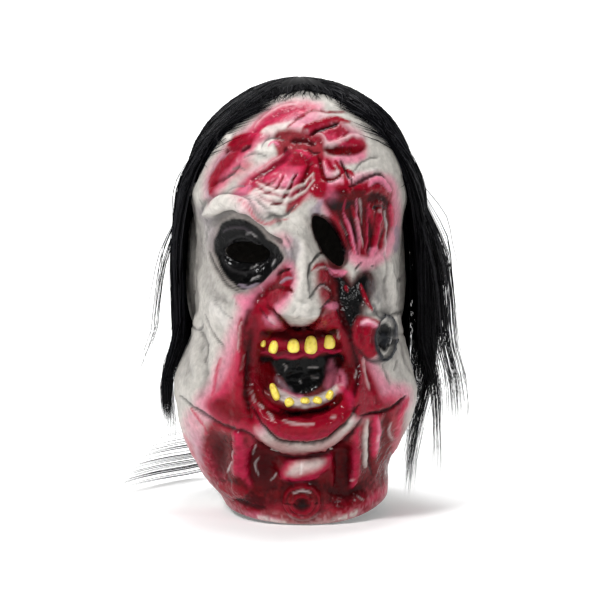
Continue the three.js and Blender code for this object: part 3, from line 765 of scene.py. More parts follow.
# The torn cuts over the forehead, with pale and red flows across its middle
FLOWS = tuple(
    (paint, 1.2, (313, 176 + lower, 302, 187 + lower, 287, 194 + lower, 270, 192 + lower, 256, 184 + lower),
     rise, share, 1.6)
    for lower, paint, rise, share in (
        (-6, CRIMSON, -0.7, 0.5), (-2, PALE, 0.9, 0.7), (2, ROSE, -0.7, 0.5), (6, PALE, 0.9, 0.8),
        (10, ROSE, -0.6, 0.35),
    )
)
FOREHEAD = (
    (PINK, 10, (248, 206, 270, 196, 296, 184, 318, 186, 330, 196), 0.6, 0.7, 9),
    (ROSE, 7, (214, 188, 224, 176, 236, 168, 250, 164), 0, 0.7, 7),
    (ROSE, 8, (286, 186, 304, 178, 320, 184, 326, 196), 0, 0.75, 7),
    (PINK, 11, (210, 196, 218, 176, 234, 156, 252, 138, 270, 122, 292, 112, 318, 108), 0, 0.9, 8),
    (ROSE, 7, (212, 190, 222, 170, 238, 152, 254, 136, 272, 121, 292, 112, 312, 110), 0.3, 0.85, 6),
    (PINK, 13, (300, 124, 324, 130, 348, 142, 360, 152), 0, 0.95, 9),
    (ROSE, 9, (308, 128, 328, 134, 348, 144, 362, 150), 0.3, 0.9, 6),
    (PINK, 15, (240, 194, 262, 182, 288, 172, 312, 168, 334, 166), 0, 0.9, 9),
    (ROSE, 9, (252, 186, 272, 174, 292, 164, 314, 162, 336, 162), 0, 0.85, 7),
    (ROSE, 9, (306, 152, 306, 176, 298, 200), 0, 0.9, 6),
    (PALE, 4.5, (262, 132, 282, 128, 300, 127, 306, 130), 1.2, 0.8, 3),
    (PALE, 6, (258, 150, 272, 146, 284, 144), 1.0, 0.9, 3),
    (PALE, 5, (252, 196, 268, 190, 284, 196, 280, 206, 266, 206), 0.8, 0.7, 4, True),
    (MAUVE, 5, (208, 196, 213, 184, 218, 171, 226, 160, 234, 152), 0.6, 0.7, 3),
    (CRIMSON, 5, (211, 195, 214, 184, 219, 172, 228, 162, 237, 153), 0.5, 0.95),
    (BLOOD, 1.4, (212, 188, 222, 180, 233, 173, 240, 164), -0.8, 0.7, 1.8),
    (CRIMSON, 7, (230, 150, 240, 143, 252, 138), -0.8, 0.95, 4),
    (CRIMSON, 3, (229, 146, 240, 138, 255, 134), 0.6),
    (BLACK, 2.2, (241, 151, 250, 145), -0.8, 0.8, 2),
    (BLOOD, 2, (227, 149, 228, 154), -0.6, 0.8, 1.8),
    (PALE, 4, (226, 138, 231, 136), 1.2),
    (ROSE, 5, (248, 134, 258, 127, 266, 119, 276, 113, 287, 108, 300, 106, 313, 107), -0.5, 0.8, 4, False,
     0.3),
    (ROSE, 3, (249, 137, 260, 128, 268, 120, 278, 114, 290, 110), -0.7, 0.7, 3),
    (PAINTED_HIGHLIGHT, 0.7, (254, 127, 262, 118, 274, 110, 286, 105, 300, 102), 0.6, 0.7),
    (PINK, 5, (290, 128, 304, 124, 318, 124), 0, 0.7, 4),
    (CRIMSON, 1.3, (287, 129, 295, 122, 302, 116, 311, 111, 330, 111, 346, 112), -0.5),
    (CRIMSON, 7, (312, 131, 326, 128, 340, 130, 347, 136), -0.4, 0.9, 3, False, 0.3),
    (CRIMSON, 3, (303, 131, 312, 125, 322, 121, 334, 119, 349, 122), 0.4),
    (MAROON, 2.2, (309, 135, 318, 130, 328, 127, 339, 123), -1),
    (BLOOD, 5, (326, 149, 340, 151, 352, 151, 364, 148), -0.8),
    (CRIMSON, 5, (346, 140, 356, 143, 366, 146), 0, 0.9, 3),
    (PINK, 4, (334, 159, 350, 160, 365, 156), 0, 0.8, 3),
    (PAINTED_HIGHLIGHT, 2.2, (309, 138, 316, 135, 321, 137, 325, 142, 331, 145, 338, 143, 346, 138, 353, 136, 362,
     138), 1.2, 0.85),
    (CRIMSON, 4, (278, 136, 290, 134, 302, 136, 318, 140, 321, 150, 318, 161, 302, 162, 286, 160, 280,
     150), -0.6, 0.95, 2.5, True),
    (MAROON, 2.6, (291, 141, 302, 140, 314, 143), -1.2, 0.9, 2),
    (MAROON, 2.6, (286, 148, 286, 156), -1.2, 0.9, 2),
    (BLACK, 1.3, (308, 148, 314, 152, 321, 151), -0.8),
    (ROSE, 2, (296, 150, 304, 153, 311, 158), 0.8),
    (ROSE, 6, (290, 152, 283, 160, 275, 166, 264, 173, 254, 181, 244, 188, 236, 193), -0.7, 0.9, 4),
    (BLOOD, 2.4, (290, 152, 283, 160, 274, 166, 262, 173, 252, 180), -0.9, 0.8, 2.4),
    (PINK, 3, (250, 186, 242, 191, 235, 194), 0, 0.8),
    (PAINTED_HIGHLIGHT, 0.8, (284, 153, 276, 160, 266, 166, 255, 173), 0.7, 0.7),
    (CRIMSON, 1.2, (284, 176, 281, 182, 275, 190, 262, 195), -0.5),
    (CRIMSON, 1.0, (277, 178, 266, 187, 257, 191), -0.4),
    (BLOOD, 1.8, (297, 174, 293, 180, 290, 188, 285, 196, 280, 202, 271, 206), -0.8),
    (PAINTED_HIGHLIGHT, 0.8, (293, 175, 289, 183, 285, 191, 278, 198), 0.6, 0.8),
    (CRIMSON, 6, (310, 162, 306, 178, 300, 192, 294, 203, 287, 211), -0.4, 0.9, 2.5),
    (BLOOD, 3, (309, 166, 304, 182, 298, 196), -0.6),
    (CRIMSON, 1, (312, 168, 322, 172, 326, 186, 322, 197, 312, 194, 306, 182), 0.9, 1, 1.6, True),
    (PAINTED_HIGHLIGHT, 0.8, (313, 174, 314, 183), 0.5, 0.8),
    (BLOOD, 2.4, (318, 154, 321, 166, 324, 178, 330, 180, 338, 177, 345, 170), -0.6),
    (CRIMSON, 2.4, (326, 158, 332, 168, 338, 168, 350, 172, 354, 178), 0.5),
    (CRIMSON, 2.2, (334, 160, 341, 170, 346, 182, 351, 194), 0.4),
    (MAROON, 1.6, (340, 160, 346, 172, 352, 182), -0.5),
    (PAINTED_HIGHLIGHT, 0.7, (323, 161, 327, 172), 0.5, 0.9),
    (PAINTED_HIGHLIGHT, 0.7, (334, 165, 338, 173), 0.5, 0.9),
    *FLOWS,
    (GREY, 1.3, (236, 198, 246, 200, 252, 205, 258, 211, 266, 216, 276, 217, 285, 215, 291, 209, 296, 204),
     -1.3, 0.9),
    (ROSE, 0.9, (240, 202, 250, 208, 258, 214, 266, 219, 276, 221, 290, 218), 0, 0.8),
    (PAINTED_HIGHLIGHT, 1.4, (240, 195, 252, 199, 262, 208, 272, 212, 283, 210), 0.8, 0.5),
    (PAINTED_HIGHLIGHT, 3, (236, 212, 244, 207, 251, 206), 0.8, 0.5, 3),
    (SHADE, 1.1, (216, 218, 224, 212, 232, 210, 239, 213), -0.8),
    (SHADE, 1.0, (262, 148, 266, 140, 275, 138, 285, 141), -0.7),
    (SHADE, 1.0, (243, 158, 250, 154, 258, 153, 267, 156), -0.6),
    (PINK, 1.2, (269, 147, 274, 143, 279, 147), 0.5),
    (SHADE, 1.0, (232, 170, 238, 167, 245, 169), -0.6),
    (SHADE, 1.0, (227, 177, 235, 174), -0.6),
    (SHADE, 1.0, (352, 172, 357, 167, 363, 162, 371, 158, 379, 157), -0.7),
    (GREY, 1.0, (228, 190, 236, 186, 244, 186), -0.6, 0.7),
)


# The large black socket on the left of the face, and the torn corner beside it
LEFT_EYE = (
    (CRIMSON, 8, (284, 268, 282, 280, 272, 290, 262, 296), -0.3, 0.9, 3),
    (BLOOD, 3, (280, 270, 276, 282, 266, 290, 256, 300, 249, 312, 245, 330, 243, 350, 241, 372), -0.7, 0.8,
     3),
    (PINK, 6, (236, 296, 246, 302, 252, 300), 0, 0.7, 4),
    (MAROON, 2, (219, 222, 229, 217, 241, 217, 252, 221, 263, 229, 271, 237, 281, 244, 287, 258, 281, 268,
     274, 276, 266, 284, 256, 291, 245, 293, 236, 291, 226, 283, 218, 273, 212, 262, 209, 250, 211, 236),
     -0.2, 0.45, 3, True),
    (BLACK, 0, (221, 224, 230, 220, 241, 220, 251, 224, 261, 232, 269, 241, 278, 248, 282, 258, 277, 266,
     270, 273, 263, 281, 254, 287, 245, 289, 237, 287, 229, 280, 222, 272, 217, 261, 213, 251, 215, 238),
     -0.7, 1, 1.4, True),
    (MAUVE, 1.6, (238, 284, 248, 287, 258, 283), 0.6, 0.8),
    (MAUVE, 1.3, (223, 232, 232, 228, 243, 229, 252, 234), 0.9, 0.16),
    (GREY, 1.5, (222, 258, 230, 268, 242, 272, 254, 270, 266, 262), 1, 0.18),
    (GREY, 1.2, (226, 243, 236, 237, 248, 238, 260, 246), 0.9, 0.14),
    (PAINTED_HIGHLIGHT, 0.8, (246, 234, 251, 234, 257, 237), 0.5, 0.9),
    (PAINTED_HIGHLIGHT, 0.8, (251, 279, 255, 277, 259, 275), 0.5, 0.9),
    (PAINTED_HIGHLIGHT, 0.7, (271, 265, 274, 260), 0.4, 0.9),
    (PAINTED_HIGHLIGHT, 0.6, (250, 267, 254, 266, 257, 263), 0.4, 0.8),
    (BLACK, 1.3, (208, 252, 213, 262, 218, 271, 227, 284, 239, 291), -0.8),
    (GREY, 1.2, (200, 208, 205, 218, 206, 232, 203, 244), -0.6, 0.7, 1, False, 0.4),
    (GREY, 1.2, (196, 222, 199, 236, 201, 250, 206, 262), -0.6, 0.7, 1, False, 0.4),
    (GREY, 1.0, (285, 236, 290, 245, 291, 256, 288, 264), -0.6, 0.8, 1, False, 0.3),
    (MAROON, 1.8, (276, 274, 283, 270, 290, 268), -0.5),
    (MAUVE, 1.2, (279, 282, 286, 278, 292, 277), 0.7, 0.9),
    (BLOOD, 2.4, (266, 290, 276, 286, 286, 288, 293, 292), -0.4),
    (SHADE, 1.0, (190, 272, 196, 283), -0.6),
    (SHADE, 1.2, (205, 314, 213, 330, 223, 346), -0.8),
    (SHADE, 1.2, (200, 330, 208, 348, 204, 362), -0.8),
    (SHADE, 1.0, (214, 300, 224, 312, 232, 318), -0.6, 0.6),
    (PAINTED_HIGHLIGHT, 5, (212, 302, 220, 312, 226, 326), 0.6, 0.5, 5),
)


# The slanting eye on the right, the torn fibres that fan out beside it and the arched brow over it
FIBRES = tuple(
    (paint, 0.9, (top, 200, top - 1, 216, (top + foot) / 2, 236, foot, 255), rise, 0.75, 1.1)
    for top, foot, (paint, rise) in zip(
        range(340, 394, 6), range(351, 378, 3),
        ((MAROON, -0.6), (ROSE, 0.8), (MAROON, -0.6), (PINK, 0.8), (MAROON, -0.6), (ROSE, 0.8),
         (MAROON, -0.6), (ROSE, 0.8), (MAROON, -0.6)),
    )
)
RIGHT_EYE = (
    (PINK, 3, (320, 186, 346, 178, 388, 178, 397, 204, 396, 232, 386, 256, 366, 266, 350, 258, 338, 240,
     328, 216), 0, 0.8, 5, True),
    (CRIMSON, 1, (322, 190, 350, 184, 386, 182, 393, 204, 391, 230, 380, 250, 364, 256, 352, 250, 342, 238,
     332, 218), -0.3, 1, 3, True),
    (MAROON, 1, (326, 194, 350, 190, 368, 194, 362, 212, 350, 222, 338, 216, 328, 208), -0.6, 0.85, 3,
     True),
    (BLOOD, 3, (342, 198, 364, 194, 386, 196, 388, 226, 378, 244, 362, 250, 350, 236), -0.4, 0.75, 4, True),
    (BLACK, 5, (330, 199, 334, 206, 344, 207, 354, 204), -1.0, 0.9, 3),
    (BLOOD, 3, (362, 204, 368, 222, 370, 240, 368, 252), -0.6, 0.9, 2),
    (MAROON, 2, (366, 208, 371, 224, 371, 238), -0.7, 0.8, 1.6),
    (BLOOD, 2.2, (384, 206, 388, 222, 386, 240), -0.5, 0.9, 1.8),
    (MAUVE, 3, (322, 198, 318, 208, 319, 216), 0.4, 0.8),
    (CRIMSON, 2, (329, 216, 336, 226, 343, 239, 348, 250), 0.8),
    (PINK, 1.8, (344, 214, 350, 228, 354, 242, 357, 257), 1, 0.95),
    (BLOOD, 1.6, (337, 212, 346, 232, 352, 250), -0.8),
    (CRIMSON, 2, (352, 206, 358, 222, 362, 240, 364, 254), 0.9),
    (MAROON, 1.4, (350, 210, 354, 224, 358, 242), -0.9),
    (PAINTED_HIGHLIGHT, 0.8, (361, 200, 362, 212, 363, 225), 0.6, 0.9),
    (PAINTED_HIGHLIGHT, 0.8, (356, 218, 360, 232, 363, 247), 0.6, 0.9),
    (PAINTED_HIGHLIGHT, 0.7, (340, 222, 347, 236), 0.5, 0.8),
    (CRIMSON, 6, (372, 210, 378, 222, 380, 236, 376, 250), 1.2, 1, 2),
    *FIBRES,
    (PINK, 3.6, (375, 248, 372, 256), 0.3, 0.8, 2.5),
    (PINK, 2.6, (369, 186, 376, 180, 384, 183, 390, 191), 1.1),
    (CRIMSON, 2.4, (366, 195, 374, 188, 382, 188, 389, 197), 0.6),
    (MAROON, 4, (369, 202, 376, 197, 384, 199, 389, 205), -0.8),
    (BLACK, 1.3, (373, 208, 381, 206, 389, 209), -0.9),
    (PAINTED_HIGHLIGHT, 0.9, (378, 211, 382, 211), 0.4),
    (MAROON, 1.8, (349, 187, 356, 183, 364, 179, 372, 176, 378, 173, 385, 178), -0.9, 0.8),
    (PAINTED_HIGHLIGHT, 1.6, (350, 181, 358, 177, 368, 172, 377, 168), 0.9, 0.5),
    (PAINTED_HIGHLIGHT, 1.3, (385, 211, 387, 222, 386, 234, 385, 256), 0.8, 0.85),
    (ROSE, 2, (392, 204, 393, 216, 392, 226), 0.6, 0.8),
    (MAUVE, 3, (397, 226, 398, 240, 396, 252), 0, 0.8),
    (MAROON, 2, (314, 216, 322, 217, 332, 222, 338, 231, 342, 240, 346, 248, 347, 257, 345, 264, 338, 267,
     331, 262, 324, 252, 318, 242, 314, 230), -0.4, 0.9, 1.6, True),
    (BLACK, 0, (314, 218, 322, 219, 331, 224, 337, 232, 341, 241, 345, 249, 345, 257, 343, 262, 338, 264,
     332, 260, 325, 251, 319, 240, 316, 229), -0.6, 1, 1.2, True),
    (PINK, 3, (328, 268, 337, 273, 346, 272), 0.5, 0.9),
    (CRIMSON, 1, (333, 273, 340, 276), 0, 0.9),
    (BLACK, 1.2, (355, 270, 358, 266, 362, 262), -1),
    (BLACK, 1.0, (401, 275, 398, 282), -0.8),
    (BLACK, 1.0, (372, 266, 374, 266), -0.8),
    (SHADE, 1.0, (384, 252, 387, 268, 385, 284, 388, 300), -0.7),
    (SHADE, 1.0, (392, 258, 394, 272, 398, 288, 397, 304), -0.7),
    (GREY, 3, (374, 295, 382, 301), 0, 0.5, 3),
    (BLACK, 1.2, (390, 315, 398, 313, 406, 311), -1, 0.8),
)


# The nose with its torn side, the black wound on the right cheek and the folds of the left one
NOSE_AND_CHEEKS = (
    (PINK, 5, (266, 318, 278, 325), 0.6, 0.8, 4),
    (PAINTED_HIGHLIGHT, 2, (269, 317, 276, 323), 0.6, 0.8, 2),
    (MAROON, 2, (330, 286, 336, 302, 342, 320, 350, 342), -0.8, 0.8, 3),
    (BLACK, 3, (336, 274, 341, 292, 346, 310, 352, 322), 0, 0.95, 3),
    # Painted shadow under the nose, laid with the dark crease there: a dark band over the upper gum, and
    # dark red and black lines round the nose's underside
    (MAROON, 5, (262, 333, 280, 335, 302, 337, 322, 334, 338, 330), -0.3, 0.95, 3),
    (BLOOD, 2.6, (266, 304, 274, 312, 282, 321, 289, 329, 300, 332, 311, 329, 319, 321, 323, 311, 328,
     302), -0.5, 0.95, 1.6),
    (BLACK, 1.4, (272, 311, 281, 321, 289, 328, 300, 331, 311, 328), -0.6, 0.9),
    (BLACK, 0.9, (260, 308, 264, 314, 269, 319), -0.5),
    (BLOOD, 7, (327, 270, 329, 284, 331, 298), -0.2, 0.85, 3),
    (CRIMSON, 4, (322, 272, 327, 281), 0.8, 0.9, 2.5),
    (CRIMSON, 3.6, (322, 292, 328, 298), 0.6, 0.9, 2),
    (PINK, 3.4, (326, 306, 334, 306, 340, 304), 0.8, 0.9),
    (BLACK, 1.3, (325, 252, 319, 254, 314, 259, 310, 267, 308, 278), -1),
    (GREY, 0.9, (308, 279, 309, 287, 312, 300), -0.6, 0.8),
    (CRIMSON, 1.4, (312, 270, 318, 265, 326, 266), 0.6),
    (PAINTED_HIGHLIGHT, 0.9, (315, 271, 322, 268, 330, 270), 0.7, 0.8),
    (BLACK, 1.1, (310, 298, 315, 290, 320, 285, 326, 283), -0.9),
    (PAINTED_HIGHLIGHT, 0.9, (318, 289, 323, 286, 331, 291), 0.7, 0.8),
    (BLACK, 1.0, (320, 309, 326, 304, 332, 298), -0.9),
    (GREY, 4, (366, 272, 372, 280, 368, 292, 371, 304, 376, 316), -0.3, 0.9, 2, False, 0.4),
    (MAROON, 2, (332, 270, 340, 272, 352, 282, 359, 273, 369, 270, 376, 280, 374, 292, 364, 312, 354, 332,
     345, 324, 340, 306, 338, 288), -0.8, 0.9, 4, True),
    (BLACK, 0, (334, 273, 342, 276, 352, 287, 360, 277, 368, 275, 371, 284, 368, 294, 360, 310, 352, 327,
     346, 316, 343, 298, 340, 284), -0.5, 1, 2.4, True),
    (BLACK, 8, (342, 284, 348, 298, 353, 308, 355, 317), 0, 1, 3),
    (GREY, 5, (372, 280, 376, 292, 380, 304), -0.3, 0.55, 4, False, 0.5),
    (CRIMSON, 1.6, (346, 286, 348, 292), 0.4),
    (CRIMSON, 1.8, (361, 285, 366, 296, 369, 304, 372, 311), 0.7),
    (CRIMSON, 2, (357, 322, 366, 318, 373, 322, 376, 334, 374, 348, 368, 357, 361, 354, 356, 342), 1.6, 1,
     2.5, True),
    (PINK, 2.6, (359, 324, 366, 321, 371, 326), 0.4, 0.95, 2),
    (CRIMSON, 4.6, (361, 338, 366, 346, 372, 354), 0.2, 0.9, 2.4),
    (PAINTED_HIGHLIGHT, 1.4, (359, 323, 366, 320, 372, 324), 0.5, 0.9),
    # Painted shadow: a black crescent under the round bump
    (BLACK, 1.2, (355, 345, 360, 353, 366, 359, 374, 361, 382, 359), -0.9),
    (BLACK, 0.9, (351, 331, 354, 333), -0.4),
    (BLACK, 10, (382, 326, 382, 348), -0.4, 1, 2),
    (RING, 2.6, (374, 320, 382, 315, 390, 320, 394, 336, 391, 352, 382, 360, 374, 353, 371, 336, 374, 320),
     2.2, 1, 1.4),
    (GREY, 0.9, (374, 324, 380, 317, 388, 318, 393, 328, 394, 342), 0.6, 0.8, 0.9, False, 0.5),
    (GREY, 1.0, (378, 324, 383, 321, 388, 324), 0.8, 0.8),
    (RING, 4, (382, 334, 382, 344), 0.9, 0.9, 2),
    (PAINTED_HIGHLIGHT, 0.8, (389, 337, 387, 344), 0.4, 0.9),
    (PALE, 2.6, (394, 316, 397, 330), 0.8, 0.8),
    (SHADE, 1.0, (392, 339, 400, 335, 407, 334), -0.7),
    (SHADE, 1.0, (402, 340, 403, 350, 406, 362, 412, 375), -0.7),
    (SHADE, 1.0, (399, 360, 394, 371), -0.6),
    (SHADE, 1.0, (383, 363, 385, 371, 391, 385), -0.6),
    (CRIMSON, 2.6, (360, 361, 368, 375, 373, 390, 379, 405), -0.5, 0.9),
    (PAINTED_HIGHLIGHT, 1.2, (362, 358, 365, 374, 369, 389), 0.8, 0.7),
    (MAROON, 1.8, (406, 396, 397, 404, 390, 409, 382, 412, 372, 413, 360, 416), -1),
    (ROSE, 2, (408, 398, 402, 410, 398, 419), 0.4, 0.9),
    (ROSE, 1.2, (222, 358, 218, 372, 215, 385, 212, 395), 0.4, 0.8),
    (BLACK, 1.6, (180, 396, 190, 405, 200, 411, 208, 417, 215, 421, 225, 426, 235, 430, 245, 432, 253,
     437), -1.2, 0.85),
    (ROSE, 1.1, (190, 408, 197, 416, 203, 426, 206, 436), 0.4, 0.9),
    (GREY, 1.2, (190, 321, 194, 327, 199, 330, 203, 325), -0.8, 0.9),
)


# The gaping mouth: its folds, gums, throat, inner cheeks and wet lower lip
MOUTH = (
    (BLOOD, 2, (262, 336, 280, 336, 302, 338, 322, 334, 338, 326, 346, 340, 352, 356, 352, 376, 344, 392,
     330, 404, 302, 412, 276, 404, 262, 390, 256, 366), 0, 0.95, 3, True),
    (BLOOD, 4, (251, 330, 249, 350, 248, 376, 247, 400, 252, 420), -0.9, 0.95, 3),
    (MAROON, 1.6, (251, 340, 248, 362, 246, 390, 250, 412), -0.6, 0.8, 2),
    (CRIMSON, 3, (241, 318, 240, 340, 242, 356, 240, 376), 0.7, 0.9),
    (PAINTED_HIGHLIGHT, 0.9, (241, 322, 239, 338, 238, 352), 0.4, 0.9),
    (PAINTED_HIGHLIGHT, 0.8, (244, 355, 241, 370), 0.4, 0.8),
    (MAROON, 3, (340, 302, 346, 320, 354, 345, 358, 368, 356, 386, 352, 400, 356, 416), -0.9, 0.9, 2),
    (CRIMSON, 4, (332, 310, 340, 326, 346, 344, 350, 362), 0.8, 0.9, 2.5),
    (CRIMSON, 9, (262, 344, 284, 346, 302, 347, 320, 342, 336, 338), 0, 0.9, 3),
    (BLOOD, 3, (264, 336, 284, 338, 302, 339, 320, 335, 336, 331), -0.3, 0.8, 2.5),
    (CRIMSON, 6, (264, 343, 265, 347), -1.4, 0.9, 3),
    # Black in the mouth between the gums: the painted throat, with painted shadow under the upper gum
    (BLACK, 0, (260, 356, 272, 357, 284, 358, 300, 358, 316, 357, 332, 353, 344, 356, 340, 368, 328, 372,
     322, 384, 312, 392, 300, 395, 290, 390, 282, 378, 270, 372, 262, 366), -0.4, 1, 2, True),
    (ROSE, 1.8, (262, 352, 270, 353, 276, 358, 285, 356, 296, 357, 305, 353, 313, 357, 322, 350, 334, 352,
     342, 350), 0.5, 0.9),
    (CRIMSON, 3.4, (326, 332, 333, 325, 339, 328, 342, 342), 0.8, 0.95),
    (PAINTED_HIGHLIGHT, 1.4, (338, 329, 339, 338), 0.4, 0.8),
    (BLOOD, 5, (264, 364, 272, 374), 0, 0.95, 2.5),
    (BLOOD, 8, (262, 366, 268, 376, 276, 386), 0.2, 0.9, 4),
    (MAUVE, 3, (276, 378, 284, 387, 292, 391), 0.3, 0.5, 3),
    (PINK, 4, (280, 392, 292, 397, 302, 397), 0.5, 0.85, 2.5),
    (PINK, 4.6, (331, 362, 331, 376, 327, 389), 0.4, 0.55, 4),
    (MAROON, 4, (337, 358, 338, 368), -0.2, 0.95, 2),
    (PINK, 6, (341, 372, 341, 384, 337, 392), 0.5, 0.85, 3),
    (CRIMSON, 1.2, (338, 374, 342, 378, 340, 384), 0.3, 0.9),
    (BLACK, 18, (303, 370, 304, 374), -0.6, 1, 5),
    (PALE, 4.4, (272, 388, 280, 395, 290, 400, 301, 402, 315, 401, 330, 394, 341, 386), 0.6, 0.85, 2),
    (MAUVE, 0.9, (280, 397, 291, 402, 304, 404, 318, 403, 331, 397), -0.5, 0.9),
    (PAINTED_HIGHLIGHT, 0.8, (283, 364, 287, 367, 285, 371), 0.3, 0.6),
    (PAINTED_HIGHLIGHT, 0.8, (309, 367, 318, 367), 0.3, 0.8),
    (PAINTED_HIGHLIGHT, 0.7, (311, 377, 319, 378), 0.3, 0.8),
    (PAINTED_HIGHLIGHT, 0.8, (299, 380, 301, 383), 0.3, 0.7),
    (MAROON, 3, (272, 410, 284, 414, 300, 414, 318, 413, 334, 406, 342, 398), -0.6, 0.9, 2),
    (BLACK, 2, (280, 409, 292, 413, 306, 411, 320, 410, 331, 405), -0.4, 0.85),
    (CRIMSON, 6, (252, 392, 260, 408, 272, 420, 288, 427, 306, 428, 322, 424, 336, 414, 346, 402, 350,
     388), 0.8, 0.95, 3, False, 0.2),
    (BLOOD, 3, (254, 384, 258, 398, 268, 411, 282, 419), -0.3, 0.9, 2),
    (PAINTED_HIGHLIGHT, 0.9, (250, 389, 252, 396, 254, 402), 0.4, 0.9),
    (PAINTED_HIGHLIGHT, 1.1, (258, 404, 264, 410), 0.4, 0.9),
    (PAINTED_HIGHLIGHT, 1.1, (268, 413, 275, 422), 0.4, 0.9),
    (PAINTED_HIGHLIGHT, 1.3, (283, 421, 296, 425, 313, 425), 0.4, 0.85),
    (PAINTED_HIGHLIGHT, 0.9, (330, 419, 336, 417), 0.4, 0.9),
    (PAINTED_HIGHLIGHT, 0.8, (357, 370, 355, 378), 0.4, 0.9),
    (ROSE, 3, (340, 386, 350, 396, 352, 408), 0.4, 0.8, 2.5),
    (MAROON, 1.4, (251, 404, 257, 415, 263, 425, 271, 434, 279, 440, 291, 442, 310, 443, 325, 440, 335,
     432, 345, 424, 352, 415, 360, 405), -1.1, 0.95),
    (PALE, 3.4, (256, 428, 265, 439, 277, 447, 291, 449, 310, 448, 325, 445, 337, 438, 347, 428, 354, 416),
     1.0, 0.36, 3.2),
    # Painted shadow under the pale chin band
    (MAROON, 2, (252, 438, 262, 446, 275, 453, 291, 457, 310, 456, 325, 453, 336, 448, 344, 442, 352, 433,
     361, 419), -1.2, 0.9, 1.8),
    # Painted shade: darker red in the folds beside the mouth, under the lower lip and over the upper gum
    (MAROON, 4, (255, 316, 251, 345, 249, 375, 252, 400), 0, 0.6, 5),
    (MAROON, 3, (351, 345, 352, 368, 349, 392), 0, 0.55, 4),
    (MAROON, 2, (262, 422, 276, 435, 298, 439, 322, 435, 342, 421), 0, 0.4, 4),
    (BLOOD, 4, (264, 330, 284, 338, 302, 339, 322, 335, 336, 326), 0, 0.4, 4),
)


